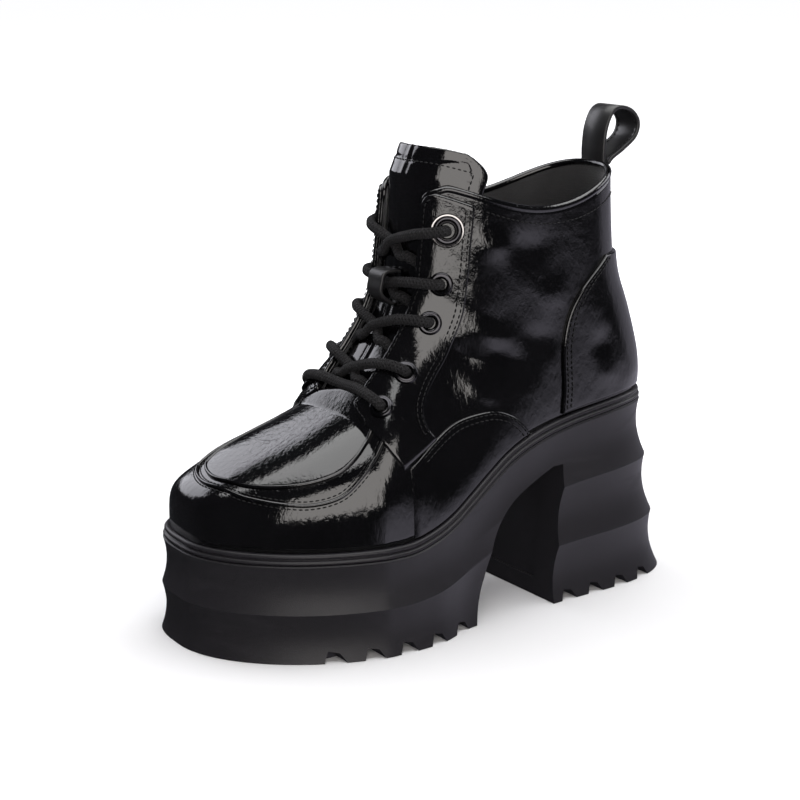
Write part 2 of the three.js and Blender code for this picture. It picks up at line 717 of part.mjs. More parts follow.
// Counter: a raised piece round the heel, from a seam on each side
const counterSeam = [
  { up: 0.00, forward: 62 },
  { up: 0.35, forward: 60 },
  { up: 0.60, forward: 52 },
  { up: 0.80, forward: 38 },
  { up: 1.00, forward: 18 },
];
function surfaceAt(side, y, z) {
  let low = 0;
  let high = 1;
  for (let turn = 0; turn < 40; turn += 1) {
    const s = (low + high) / 2;
    const ends = fanEnds(s);
    const t = clamp((y - ends.lowY) / (ends.highY - ends.lowY), 0, 1);
    if (bodyPoint(side, s, t).z < z) low = s;
    else high = s;
  }
  const ends = fanEnds(high);
  return bodyPoint(side, high, clamp((y - ends.lowY) / (ends.highY - ends.lowY), 0, 1));
}

const counterColumns = [];
for (let column = -COUNTER_COLUMNS; column <= COUNTER_COLUMNS; column += 1) {
  const side = column < 0 ? -1 : 1;
  const turn = Math.abs(column) / COUNTER_COLUMNS;
  const line = [];
  for (let row = 0; row <= COUNTER_ROWS; row += 1) {
    const up = row / COUNTER_ROWS;
    const forward = read(counterSeam, 'up', 'forward', up);
    const away = forward * (1 - Math.cos((Math.PI / 2) * turn));
    const low = featherZ(BACK_Y - away) + 1.5;
    const z = low + (COUNTER_TOP - low) * up;
    const y = backY(z) - away;
    line.push(turn === 0 ? new THREE.Vector3(0, backY(z), z) : surfaceAt(side, y, z));
  }
  counterColumns.push(line);
}
const counterSheet = sheetOf(counterColumns);
const overlayOut = OVERLAY_GAP + OVERLAY;

// Smooth closed tube along hand-set points
function tube(points, diameter, sides, steps) {
  const curve = new THREE.CatmullRomCurve3(points);
  const shape = new THREE.Shape();
  for (let i = 0; i < sides; i += 1) {
    const angle = (2 * Math.PI * i) / sides;
    const x = (Math.cos(angle) * diameter) / 2;
    const y = (Math.sin(angle) * diameter) / 2;
    if (i === 0) shape.moveTo(x, y);
    else shape.lineTo(x, y);
  }
  return new THREE.ExtrudeGeometry(shape, { steps, extrudePath: curve, curveSegments: 1 });
}

// Eyelet rings, five on each side, with their places as fan shares. out: distance behind the
// throat's edge in shares of the eyestay's width
const eyelets = [
  { s: 0.860, out: 0.52, outer: TOP_EYELET_OUTER, hole: TOP_EYELET_HOLE },
  { s: 0.605, out: 0.49, outer: EYELET_OUTER, hole: EYELET_HOLE },
  { s: 0.405, out: 0.48, outer: EYELET_OUTER, hole: EYELET_HOLE },
  { s: 0.245, out: 0.54, outer: EYELET_OUTER, hole: EYELET_HOLE },
  { s: 0.125, out: 0.58, outer: EYELET_OUTER, hole: EYELET_HOLE },
];

function eyeletPlace(side, eyelet) {
  const distance = throatRun(side, eyelet.s) + EYESTAY_WIDTH * eyelet.out;
  return {
    point: arcPoint(side, eyelet.s, distance),
    normal: arcNormal(side, eyelet.s, distance),
  };
}

function eyeletRing(outer, hole) {
  const half = EYELET_HEIGHT / 2;
  const middle = (outer + hole) / 4;
  const profile = [[hole / 2, -half], [outer / 2, -half], [outer / 2 - 0.4, half * 0.4],
    [middle + 0.6, half], [middle - 0.6, half], [hole / 2, half * 0.2], [hole / 2, -half]];
  return new THREE.LatheGeometry(profile.map(([x, y]) => new THREE.Vector2(x, y)), 12);
}

const boot = new THREE.Group();

function add(name, geometry, colour, roughness, metalness = 0) {
  const material = new THREE.MeshStandardMaterial({ color: colour, roughness, metalness });
  const mesh = new THREE.Mesh(geometry, material);
  mesh.name = name;
  boot.add(mesh);
  return mesh;
}

add('sole', geometryOf(sole), 0x201f22, 0.6);
add('welt', welt, 0x1a191c, 0.5);
add('insole', insole, 0x1c1b1b, 0.8);
add('upper', upper, 0x0c0c0e, 0.15);
add('tongue', tongue, 0x0e0e10, 0.2);
add('eyestay_lateral', thicken(eyestay(1), overlayOut, OVERLAY_GAP), 0x0c0c0e, 0.15);
add('eyestay_medial', thicken(eyestay(-1), overlayOut, OVERLAY_GAP), 0x0c0c0e, 0.15);
add('counter', thicken(counterSheet, overlayOut, OVERLAY_GAP), 0x0c0c0e, 0.15);

const sideNames = [[1, 'lateral'], [-1, 'medial']];
for (const [side, sideName] of sideNames) {
  eyelets.forEach((eyelet, index) => {
    const place = eyeletPlace(side, eyelet);
    const lift = overlayOut + FIT * 2 + EYELET_HEIGHT / 2;
    const metal = index === 0;
    const ring = add(`eyelet_${sideName}_${index + 1}`, eyeletRing(eyelet.outer, eyelet.hole),
      metal ? 0x8d8d90 : 0x101012, 0.2, metal ? 1 : 0.3);
    ring.position.copy(place.point).addScaledVector(place.normal, lift);
    ring.quaternion.setFromUnitVectors(new THREE.Vector3(0, 1, 0), place.normal);
  });
}

// Laces: an X between each two pairs of eyelets and a bar across the lowest pair. Each strand
// leaves its eyelet, crosses the tongue and ends short of the other facing's edge.
const laceRadius = LACE_DIAMETER / 2;
const liftedPoint = (side, s, distance, lift) => arcPoint(side, s, distance)
  .addScaledVector(arcNormal(side, s, Math.max(distance, 2)), lift);
const facingLift = overlayOut + laceRadius + LACE_CLEAR;
const tongueLift = laceRadius + LACE_CLEAR - TONGUE_TUCK;

function strandStart(side, eyelet) {
  const throat = throatRun(side, eyelet.s);
  const hole = throat + EYESTAY_WIDTH * eyelet.out;
  const rim = hole - eyelet.outer / 2 - 1.2 - laceRadius;
  return [
    liftedPoint(side, eyelet.s, rim, facingLift + 0.3),
    liftedPoint(side, eyelet.s, Math.min(rim - 4, throat - 2), facingLift),
  ];
}

function centrePoint(s) {
  const point = bodyPoint(1, s, 1);
  const lift = tongueLift;
  point.y -= lift;
  point.z += lift * 0.35;
  return point;
}

function strandEnd(side, s) {
  const distance = throatRun(side, s) - WALL - laceRadius - 1;
  return [liftedPoint(side, s, distance * 0.6, tongueLift), liftedPoint(side, s, distance, tongueLift)];
}

function strand(side, upper, lower) {
  const middle = (upper.s + lower.s) / 2;
  const end = upper.s + (lower.s - upper.s) * 0.72;
  const points = [...strandStart(side, upper), centrePoint(middle), ...strandEnd(-side, end)];
  return tube(points, LACE_DIAMETER, 6, 10);
}

for (let pair = 0; pair + 1 < eyelets.length; pair += 1) {
  const one = solidOf(strand(1, eyelets[pair], eyelets[pair + 1]));
  const two = solidOf(strand(-1, eyelets[pair], eyelets[pair + 1]));
  add(`lace_cross_${pair + 1}`, geometryOf(one.add(two)), 0x141416, 0.85);
}
const lowest = eyelets[eyelets.length - 1];
const bar = [...strandStart(1, lowest), centrePoint(lowest.s), ...strandStart(-1, lowest).reverse()];
add('lace_bar', tube(bar, LACE_DIAMETER, 6, 10), 0x141416, 0.85);

// Lace keeper: a short strap on the tongue's middle, arched over the lace's second crossing
const keeperMiddle = (eyelets[1].s + eyelets[2].s) / 2;
const keeperColumns = [];
for (let column = -2; column <= 2; column += 1) {
  const line = [];
  for (let row = 0; row <= KEEPER_ROWS; row += 1) {
    const share = (row / KEEPER_ROWS) * 2 - 1;
    const s = keeperMiddle + share * KEEPER_SPAN;
    const point = bodyPoint(1, s, 1);
    point.x += (column / 4) * KEEPER_WIDTH;
    const bow = (1 - Math.abs(share) ** 5) * (LACE_DIAMETER + LACE_CLEAR + KEEPER_ARCH);
    const arch = bow + FIT * 2 - TONGUE_TUCK;
    point.y -= arch;
    point.z += arch * 0.3;
    line.push(point);
  }
  keeperColumns.push(line);
}
const keeperSheet = sheetOf(keeperColumns.reverse());
add('lace_keeper', thicken(keeperSheet, KEEPER_THICK + FIT, FIT), 0x161517, 0.4);

// Pull loop: a strap sewn into the collar's back edge, turned over in a drop shape. back and up are
// shares of LOOP_HEIGHT from the collar's back edge.
const loopPath = [
  { back: -0.04, up: 0.013 },
  { back: -0.04, up: 0.30 },
  { back: 0.00, up: 0.62 },
  { back: 0.12, up: 0.88 },
  { back: 0.30, up: 0.97 },
  { back: 0.56, up: 0.90 },
  { back: 0.72, up: 0.70 },
  { back: 0.66, up: 0.46 },
  { back: 0.40, up: 0.26 },
  { back: 0.16, up: 0.12 },
  { back: 0.065, up: 0.02 },
];
const loopCurve = new THREE.CatmullRomCurve3(loopPath.map((row) => new THREE.Vector3(
  0, backY(SHAFT_HEIGHT) + row.back * LOOP_HEIGHT, SHAFT_HEIGHT + row.up * LOOP_HEIGHT)));
const loopOutline = [];
for (const face of [1, -1]) {
  const edge = [];
  for (let step = 0; step <= LOOP_STEPS; step += 1) {
    const at = loopCurve.getPoint(step / LOOP_STEPS);
    const way = loopCurve.getTangent(step / LOOP_STEPS);
    edge.push([at.y - way.z * face * (LOOP_THICK / 2), at.z + way.y * face * (LOOP_THICK / 2)]);
  }
  loopOutline.push(...(face > 0 ? edge : edge.reverse()));
}
const loopSolid = acrossFoot(loopOutline, -LOOP_WIDTH / 2, LOOP_WIDTH / 2);
add('pull_loop', geometryOf(loopSolid), 0x151416, 0.4);

// The origin is under the middle of the whole boot
const bounds = new THREE.Box3().setFromObject(boot);
const middle = bounds.getCenter(new THREE.Vector3());
boot.position.set(-middle.x, -middle.y, -bounds.min.z);

export default boot;
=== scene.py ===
"""Left platform ankle boot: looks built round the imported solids.

The boot's own frame is used inside the functions: millimetres, heel centre plane on x = 0, toe
to -Y, outer side to +X, floor on z = 0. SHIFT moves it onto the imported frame.
"""

import math

import bmesh
import bpy
import numpy as np
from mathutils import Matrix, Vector


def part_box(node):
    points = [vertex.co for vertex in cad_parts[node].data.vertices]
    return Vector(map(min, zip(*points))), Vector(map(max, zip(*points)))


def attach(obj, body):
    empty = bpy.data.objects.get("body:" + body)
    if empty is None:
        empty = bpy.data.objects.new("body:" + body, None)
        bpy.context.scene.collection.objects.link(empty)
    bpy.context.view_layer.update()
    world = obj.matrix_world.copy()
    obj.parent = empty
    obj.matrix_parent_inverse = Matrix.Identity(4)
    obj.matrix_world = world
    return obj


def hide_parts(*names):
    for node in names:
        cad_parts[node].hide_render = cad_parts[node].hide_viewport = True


bl_info = {
    "name": "Platform ankle boot",
    "version": (1, 0, 0),
    "blender": (4, 5, 0),
    "location": "3D View > Sidebar > Boot",
    "description": "Builds the skins, stitching, laces and finishes of a left platform boot",
    "category": "Object",
}

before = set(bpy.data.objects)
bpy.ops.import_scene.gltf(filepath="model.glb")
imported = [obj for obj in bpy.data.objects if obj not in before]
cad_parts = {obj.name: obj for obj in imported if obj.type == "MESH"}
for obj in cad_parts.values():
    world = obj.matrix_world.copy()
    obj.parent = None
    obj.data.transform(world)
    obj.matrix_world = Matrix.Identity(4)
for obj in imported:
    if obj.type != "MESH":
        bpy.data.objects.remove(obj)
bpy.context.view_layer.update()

# The last and the upper's wall, in millimetres
TOE_REACH = 65.0
FOOT_REACH = 164.5
BALL_LATERAL = 46.0
BALL_MEDIAL = 44.0
TOE_SWING = 16.0
BALL_SWING = 3.0
BALL_Y = -45.0
PLATFORM_TOP = 48.5
SEAT_RISE = 45.0
INSTEP_HEIGHT = 50.0
TOE_HEIGHT = 26.5
SHAFT_HEIGHT = 198.0
COLLAR_DIP = 14.0
SHAFT_HALF = 31.5
HEEL_ROUND = 44.0
BACK_LEAN = 18.5
SHAFT_FRONT = -10.5
ANKLE_RISE = 62.0
COLLAR_CORNER = 7.0
WALL = 2.2
FIT = 0.3
OVERLAY = 1.1
OVERLAY_GAP = 0.55
# Throat, welt, insole and sole
THROAT_HALF = 15.5
THROAT_START = 0.03
WELT_HEIGHT = 4.6
WELT_OUT = 1.6
WELT_IN = 6.0
LIP_OUT = 3.0
INSOLE_THICK = 4.0
HEEL_FLARE = 15.5
HEEL_BLEND = 45.0
HEEL_HALF = 31.0
BREAST_Y = 53.0
BREAST_LEAN = 6.0
ARCH_FRONT_Y = 7.0
ARCH_TOP = 66.0
ARCH_SPAN = 46.0
SCALLOP_FORE = 1.9
SCALLOP_HEEL = 2.6
TREAD_OUT = 1.6
TREAD_NARROW = 5.0
LUG_DEPTH = 5.0
LUG_PITCH = 16.5
LUG_REACH = 13.0
FORE_LUGS = 5
HEEL_LUGS = 4
RIB_PITCH = 8.25
RIB_DEPTH = 1.4
RIB_SHIFT = 2.0
# First, end and half width of the fine ribs under the forefoot and under the heel
RIBS = ((-83.75, ARCH_FRONT_Y - 6, 19.2), (BREAST_Y + 8, 110.0, 16.0))
SOLE_ROWS = 85
SOLE_LIP = 0.985
FAR = 90.0
# Tongue, overlays, lace, eyelets and loops
TONGUE_THICK = 3.6
TONGUE_TUCK = WALL + FIT * 3
TONGUE_HALF = 46.0
TONGUE_RISE = 13.0
TONGUE_BASE = 20.0
TONGUE_LEAN = 6.0
TONGUE_START = 0.05
TONGUE_COLLAR = 0.86
TONGUE_BORDER = 7.0
EYESTAY_WIDTH = 25.0
FAN_LENGTH = 150.0
WING_BASE = -0.35
WING_FADE = (-33.0, -27.0)
STITCH_CLEAR = 0.05
SEAM_BAND = 4.2
COUNTER_TOP = 160.0
LACE_DIAMETER = 4.4
LACE_CLEAR = 0.5
EYELET_OUTER = 10.6
EYELET_HOLE = 5.0
TOP_EYELET_OUTER = 15.0
TOP_EYELET_HOLE = 6.4
EYELET_HEIGHT = 1.5
LOOP_WIDTH = 16.0
LOOP_HEIGHT = 27.0
LOOP_THICK = 1.8
KEEPER_WIDTH = 11.0
KEEPER_SPAN = 0.08
KEEPER_THICK = 1.4
KEEPER_ARCH = 3.0
# Powers of the outline's curves, counts, and the shaft's middle in plan
LATERAL_ROUND = 2.0
MEDIAL_ROUND = 3.1
BACK_ROUND = 2.3
ARC_STEPS = 90
FAN_LAST = 12
SHAFT_MIDDLE = np.array([0.0, 45.0, 0.0])

BACK_Y = BALL_Y + FOOT_REACH
SEAT_TOP = PLATFORM_TOP + SEAT_RISE
SEAM_HEIGHT = SHAFT_HEIGHT - SEAT_TOP
RIDGE_AT_BALL = PLATFORM_TOP + INSTEP_HEIGHT
OVERLAY_TOP = OVERLAY_GAP + OVERLAY

LOOP_LOW, LOOP_HIGH = (np.array(corner) * 1000 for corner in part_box("pull_loop"))
INSOLE_HIGH = np.array(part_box("insole")[1]) * 1000
SHIFT = np.array([(LOOP_LOW[0] + LOOP_HIGH[0]) / 2,
                  INSOLE_HIGH[1] - (BACK_Y - WELT_IN - FIT), 0.0])


def columns(names, rows):
    """Table with named columns, as arrays."""
    values = np.array(rows, float)
    return {name: values[:, index] for index, name in enumerate(names)}


# Feather line: shares of FOOT_REACH, of SEAT_RISE and of the half widths at the ball
FOOT = columns(("at", "rise", "lateral", "medial"), (
    (0.00, 0.000, 1.000, 1.000), (0.08, 0.010, 1.000, 0.990), (0.16, 0.085, 0.970, 0.950),
    (0.22, 0.180, 0.930, 0.900), (0.28, 0.320, 0.885, 0.845), (0.35, 0.500, 0.840, 0.790),
    (0.42, 0.665, 0.800, 0.755), (0.50, 0.790, 0.765, 0.735), (0.60, 0.875, 0.715, 0.725),
    (0.72, 0.945, 0.690, 0.720), (0.85, 0.995, 0.680, 0.710), (1.00, 1.000, 0.680, 0.710)))
TOE_RIDGE = columns(("at", "up"), (
    (0.00, 1.00), (0.23, 0.69), (0.54, 0.32), (0.80, 0.05), (1.00, 0.00)))
# Fan sections from the feather line or the back seam to the ridge
FAN = columns(("index", "foot", "seam", "front", "rise", "round"), (
    (0, 0.00, 0.00, 0.000, 0.000, 3.0), (1, 0.10, 0.00, 0.130, 0.075, 3.0),
    (2, 0.22, 0.00, 0.300, 0.160, 2.9), (3, 0.36, 0.00, 0.520, 0.262, 2.8),
    (4, 0.52, 0.00, 0.710, 0.370, 2.7), (5, 0.70, 0.00, 0.820, 0.465, 2.6),
    (6, 0.88, 0.00, 0.885, 0.540, 2.5), (7, 1.00, 0.00, 0.910, 0.600, 2.5),
    (8, 1.00, 0.17, 0.930, 0.672, 2.5), (9, 1.00, 0.36, 0.950, 0.745, 2.5),
    (10, 1.00, 0.55, 0.965, 0.820, 2.5), (11, 1.00, 0.77, 0.985, 0.905, 2.5),
    (12, 1.00, 1.00, 1.000, 1.000, 2.5)))
BACK_SEAM = columns(("at", "out"), (
    (0.00, 1.00), (0.09, 1.01), (0.19, 0.92), (0.37, 0.60), (0.55, 0.22), (0.75, 0.08),
    (1.00, 0.00)))
COUNTER_SEAM = columns(("up", "forward"), (
    (0.00, 62), (0.35, 60), (0.60, 52), (0.80, 38), (1.00, 18)))
ARCH = columns(("back", "up"), (
    (0.00, 0.00), (0.03, 0.14), (0.09, 0.33), (0.17, 0.52), (0.28, 0.70), (0.42, 0.81),
    (0.60, 0.89), (0.80, 0.95), (1.00, 1.00)))
LOOP_PATH = ((-0.04, 0.013), (-0.04, 0.30), (0.00, 0.62), (0.12, 0.88), (0.30, 0.97),
             (0.56, 0.90), (0.72, 0.70), (0.66, 0.46), (0.40, 0.26), (0.16, 0.12), (0.065, 0.02))
# Eyelets from the top: fan share, place across the eyestay, outer and hole diameters
EYELETS = ((0.860, 0.52, TOP_EYELET_OUTER, TOP_EYELET_HOLE),
           (0.605, 0.49, EYELET_OUTER, EYELET_HOLE),
           (0.405, 0.48, EYELET_OUTER, EYELET_HOLE),
           (0.245, 0.54, EYELET_OUTER, EYELET_HOLE),
           (0.125, 0.58, EYELET_OUTER, EYELET_HOLE))
SIDES = ((1, "lateral"), (-1, "medial"))
# Foot of the facing's edges: fan share and distance from the ridge
EYESTAY_FRONT = ((0.0875, 57.0), (0.060, 45.4), (0.040, 35.8), (0.030, 27.0), (0.038, 20.5),
                 (0.058, 17.0))
EYESTAY_REAR = ((0.205, 59.5), (0.201, 53.0), (0.2075, 47.2), (0.225, 43.8), (0.255, 41.6))
# Seams drawn as listed points: plan views as x, y and side views as y, z
SEAM_OUTER = ((-33, -40), (-37, -55), (-38, -70), (-37, -84), (-33, -94), (-25, -99), (-14, -101),
              (-2, -99), (9, -95), (20, -87), (29, -76), (35, -63), (36, -52), (34, -42),
              (33, -34))
WING_SEAM = ((-32, 80), (-16, 89), (-1, 96), (15, 98), (26, 95), (34, 89), (39, 82))


def ramp(low, high, value):
    """Smooth step from 0 at low to 1 at high."""
    share = np.clip((np.asarray(value, float) - low) / (high - low), 0, 1)
    return share * share * (3 - 2 * share)


def read(table, key, name, at):
    """Catmull-Rom value of a column at places along the key column."""
    keys, values = table[key], table[name]
    last = len(keys) - 1
    left = np.clip(np.searchsorted(keys, at, side="right") - 1, 0, last - 1)
    right = left + 1
    before, after = np.maximum(left - 1, 0), np.minimum(left + 2, last)
    width = keys[right] - keys[left]
    share = np.clip((at - keys[left]) / width, 0, 1)
    leave = (values[right] - values[before]) / (keys[right] - keys[before]) * width
    arrive = (values[after] - values[left]) / (keys[after] - keys[left]) * width
    square, cube = share**2, share**3
    return ((2 * cube - 3 * square + 1) * values[left] + (cube - 2 * square + share) * leave
            + (3 * square - 2 * cube) * values[right] + (cube - square) * arrive)


def feather_z(y):
    """Height of the feather line: the platform's top plus the seat's rise."""
    return PLATFORM_TOP + SEAT_RISE * read(FOOT, "at", "rise", (y - BALL_Y) / FOOT_REACH)


def ridge_x(y):
    """The last's centre line in plan: straight at the heel, swung inwards to the toe tip."""
    forward = np.clip((BALL_Y - y) / TOE_REACH, 0, 1)
    return -BALL_SWING * (1 - ramp(BALL_Y, -BALL_Y, y)) - (TOE_SWING - BALL_SWING) * forward


def back_y(z):
    """Place of the back seam at a height."""
    share = np.clip((z - SEAT_TOP) / SEAM_HEIGHT, 0, 1)
    return BACK_Y - BACK_LEAN + BACK_LEAN * read(BACK_SEAM, "at", "out", share)


def round_in(share, power):
    """Quarter superellipse from 0 to 1."""
    return (1 - (1 - np.clip(share, 0, 1)) ** power) ** (1 / power)


def body_half(side, y, z):
    """Half width of foot and shaft before the crown takes it in."""
    share = (y - BALL_Y) / FOOT_REACH
    lateral = BALL_LATERAL * read(FOOT, "at", "lateral", share)
    medial = BALL_MEDIAL * read(FOOT, "at", "medial", share)
    low = np.where(np.asarray(side) > 0, lateral, medial)
    return low + (SHAFT_HALF - low) * ramp(0, ANKLE_RISE, z - feather_z(y)) * ramp(BALL_Y, 0, y)


def fan_ends(s):
    """Both ends of the fan line at share s: feather line or back seam, and ridge."""
    at = np.asarray(s, float) * FAN_LAST
    foot, seam, front, rise, power = (
        read(FAN, "index", name, at) for name in ("foot", "seam", "front", "rise", "round"))
    seam_z = SEAT_TOP + seam * SEAM_HEIGHT
    low_y = np.where(seam > 1e-6, back_y(seam_z), BALL_Y + foot * FOOT_REACH)
    low_z = np.where(seam > 1e-6, seam_z, feather_z(low_y))
    high_y = BALL_Y + front * (SHAFT_FRONT - BALL_Y)
    high_z = RIDGE_AT_BALL + rise * (SHAFT_HEIGHT - RIDGE_AT_BALL)
    return low_y, low_z, high_y, high_z, power


def fan_share(s, y):
    """Share along the fan line s at which it stands over y."""
    low_y, _, high_y, _, _ = fan_ends(s)
    return np.clip((y - low_y) / np.minimum(high_y - low_y, -1e-9), 0, 1)


def body_point(side, s, t):
    """Outer form at fan share s and share t from foot to ridge: the straight fan line in side
    view, with the half width times the crown and the heel's rounding across."""
    low_y, low_z, high_y, high_z, power = fan_ends(s)
    t = np.clip(t, 0, 1)
    dip = COLLAR_DIP * ramp(0.55, 1, s) * np.sin(np.pi * t**0.92) ** 1.3
    y = low_y + (high_y - low_y) * t
    z = low_z + (high_z - low_z) * t - dip
    reach = np.hypot(high_y - low_y, high_z - low_z)
    crown = round_in((1 - t) * reach / INSTEP_HEIGHT, power)
    half = body_half(side, y, z) * crown * round_in((back_y(z) - y) / HEEL_ROUND, BACK_ROUND)
    return np.stack([ridge_x(y) + side * half, y, z], axis=-1)


def bisect(test, low, high, turns=40):
    """Where test turns from True to False between low and high, for whole arrays."""
    low, high = np.array(low, float), np.array(high, float)
    for _ in range(turns):
        middle = (low + high) / 2
        inside = test(middle)
        low = np.where(inside, middle, low)
        high = np.where(inside, high, middle)
    return high


def throat_edge(side, s):
    """Share t at which the upper's edge lies at the throat, 1 where the vamp is closed."""
    s = np.asarray(s, float)
    wanted = (THROAT_HALF * ramp(THROAT_START, THROAT_START + 0.07, s) ** 0.4
              + COLLAR_CORNER * ramp(0.93, 1, s) ** 2)

    def outside(t):
        """Whether a point lies further out than the throat's half width."""
        point = body_point(side, s, t)
        return np.abs(point[..., 0] - ridge_x(point[..., 1])) > wanted

    edge = bisect(outside, np.full(s.shape, 0.5), np.ones(s.shape))
    return np.where(s <= THROAT_START, 1.0, edge)


def toe_roundness(turn):
    """Exponents of the toe at an angle: plan power and section power."""
    power = LATERAL_ROUND + (MEDIAL_ROUND - LATERAL_ROUND) * ramp(0.3, 0.7, turn)
    section = 3 + 1.9 * ramp(0, 0.5, 0.5 - np.abs(turn - 0.5))
    return power, section


def toe_height(forward):
    """Ridge height above the feather line at a share forward of the ball."""
    surplus = INSTEP_HEIGHT - TOE_HEIGHT
    return TOE_HEIGHT + surplus * read(TOE_RIDGE, "at", "up", forward)


def toe_point(turn, t):
    """Toe at angle turn (0 lateral, 1 medial) and share t from feather line to ball ridge: a
    superellipse in plan that shrinks by rho while a second superellipse lifts it."""
    angle = np.pi * turn
    power, section = toe_roundness(turn)
    tilt = np.pi / 2 * t
    rho = np.clip(np.cos(tilt), 0, 1) ** (2 / section)
    lift = np.sin(tilt) ** (2 / section)
    side = np.where(np.cos(angle) >= 0, 1, -1)
    ball = np.where(side > 0, BALL_LATERAL, BALL_MEDIAL)
    across = ball * rho * np.abs(np.cos(angle)) ** (2 / power)
    forward = rho * np.abs(np.sin(angle)) ** (2 / power)
    y = BALL_Y - TOE_REACH * forward
    z = feather_z(y) + toe_height(forward) * lift
    return np.stack([ridge_x(y) + side * across, y, z], axis=-1)


def toe_top(x, y):
    """Height of the toe above a place in plan, by turning toe_point round."""
    forward = np.clip((BALL_Y - y) / TOE_REACH, 0, 1)
    offset = x - ridge_x(y)
    across = np.clip(np.abs(offset) / np.where(offset > 0, BALL_LATERAL, BALL_MEDIAL), 0, 1)
    turn = np.where(offset > 0, 0.25, 0.75)
    for _ in range(25):
        power, section = toe_roundness(turn)
        angle = np.arctan2(forward ** (power / 2), np.sign(offset) * across ** (power / 2))
        turn = np.clip(angle / np.pi, 0, 1)
    power, section = toe_roundness(turn)
    rho = np.clip(forward**power + across**power, 0, 1) ** (1 / power)
    lift = np.clip(1 - rho**section, 0, 1) ** (1 / section)
    return feather_z(y) + toe_height(forward) * lift


def body_top(x, y):
    """Height of foot and shaft above a place in plan behind the ball: the fan line that has the
    wanted half width at that y."""
    side = np.where(x >= ridge_x(y), 1, -1)
    offset = np.abs(x - ridge_x(y))
    y = np.maximum(y, BALL_Y + 1e-6)
    s_low = bisect(lambda s: fan_ends(s)[0] < y, np.zeros(y.shape), np.ones(y.shape))
    s_high = bisect(lambda s: fan_ends(s)[2] < y, np.zeros(y.shape), np.ones(y.shape))
    s = bisect(lambda s: np.abs((p := body_point(side, s, fan_share(s, y)))[..., 0]
                                - ridge_x(p[..., 1])) > offset,
               np.minimum(s_low, s_high), np.maximum(s_low, s_high))
    return body_point(side, s, fan_share(s, y))[..., 2]


def on_top(x, y):
    """Point of the outer form above a place in plan."""
    x, y = np.broadcast_arrays(np.asarray(x, float), np.asarray(y, float))
    z = np.where(y < BALL_Y, toe_top(x, np.minimum(y, BALL_Y)), body_top(x, y))
    return np.stack([x, y, z], axis=-1)


def on_side(side, y, z):
    """Point of the outer form seen from the side at y, z, behind the ball."""
    y, z = np.broadcast_arrays(np.asarray(y, float), np.asarray(z, float))
    s = bisect(lambda s: body_point(side, s, fan_share(s, y))[..., 2] < z,
               np.zeros(y.shape), np.ones(y.shape))
    return body_point(side, s, fan_share(s, y))


def section_arc(side, s):
    """Arc from the ridge down one side of each fan section: shares t, points and lengths."""
    low_y, low_z, high_y, high_z, power = fan_ends(s)
    reach = np.hypot(high_y - low_y, high_z - low_z)[..., None]
    turn = np.pi / 2 * np.linspace(0, 1, ARC_STEPS + 1)
    t = 1 - INSTEP_HEIGHT / reach * (1 - np.cos(turn) ** (2 / np.asarray(power)[..., None]))
    points = body_point(side, np.asarray(s, float)[..., None], t)
    steps = np.linalg.norm(np.diff(points, axis=-2), axis=-1)
    run = np.concatenate([np.zeros(steps.shape[:-1] + (1,)), np.cumsum(steps, axis=-1)], axis=-1)
    return points, run


def arc_points(side, s, distance):
    """Points of the outer form at distances from the ridge. s has one value a row, distance a
    row of values for each."""
    points, run = section_arc(side, s)
    distance = np.asarray(distance, float)
    row = (run[:, None, :] <= distance[:, :, None]).sum(-1) - 1
    row = np.clip(row, 0, ARC_STEPS - 1)
    low = np.take_along_axis(run, row, axis=1)
    high = np.take_along_axis(run, row + 1, axis=1)
    share = ((distance - low) / np.maximum(high - low, 1e-9))[..., None]
    first = np.take_along_axis(points, row[..., None], axis=1)
    second = np.take_along_axis(points, row[..., None] + 1, axis=1)
    return first + (second - first) * share


def throat_run(side, s):
    """Distance from the ridge to the throat's edge for each s."""
    edge = body_point(side, s, throat_edge(side, s))
    points, run = section_arc(side, s)
    nearest = np.linalg.norm(points - edge[:, None, :], axis=-1).argmin(axis=1)
    return run[np.arange(len(run)), nearest]


def curve_through(points, count):
    """Catmull-Rom curve through points, evenly spaced along its length."""
    points = np.asarray(points, float)
    padded = np.concatenate([[2 * points[0] - points[1]], points, [2 * points[-1] - points[-2]]])
    at = np.linspace(0, len(points) - 1 - 1e-9, count * 4)
    row = at.astype(int)
    u = (at - row)[:, None]
    a, b, c, d = padded[row], padded[row + 1], padded[row + 2], padded[row + 3]
    line = 0.5 * (2 * b + (c - a) * u + (2 * a - 5 * b + 4 * c - d) * u**2
                  + (3 * b - a - 3 * c + d) * u**3)
    return even(line, count)


def even(line, count):
    """The same line with evenly spaced points."""
    run = np.concatenate([[0], np.cumsum(np.linalg.norm(np.diff(line, axis=0), axis=1))])
    at = np.linspace(0, run[-1], count)
    return np.stack([np.interp(at, run, line[:, k]) for k in range(line.shape[1])], axis=1)


def unit(vectors):
    """The vectors divided by their lengths."""
    return vectors / np.maximum(np.linalg.norm(vectors, axis=-1, keepdims=True), 1e-12)


def grid_normals(points):
    """Normals of a grid of points, turned away from the boot's middle."""
    normal = unit(np.cross(np.gradient(points, axis=0), np.gradient(points, axis=1)))
    middle = np.stack([ridge_x(points[..., 1]), points[..., 1], points[..., 2] - 25], axis=-1)
    if np.sum(normal * (points - middle)) < 0:
        normal = -normal
    return normal


def form_normal(points, height=False):
    """Normals of the outer form at loose points, from small steps over the form."""
    x, y, z = np.moveaxis(np.asarray(points, float), -1, 0)
    step = 0.5
    if height:
        return unit(np.cross(on_top(x + step, y) - on_top(x - step, y),
                             on_top(x, y + step) - on_top(x, y - step)))
    side = np.sign(x - ridge_x(y))
    dy = on_side(side, y + step, z) - on_side(side, y - step, z)
    dz = on_side(side, y, z + step) - on_side(side, y, z - step)
    return unit(np.cross(dy, dz) * side[..., None])


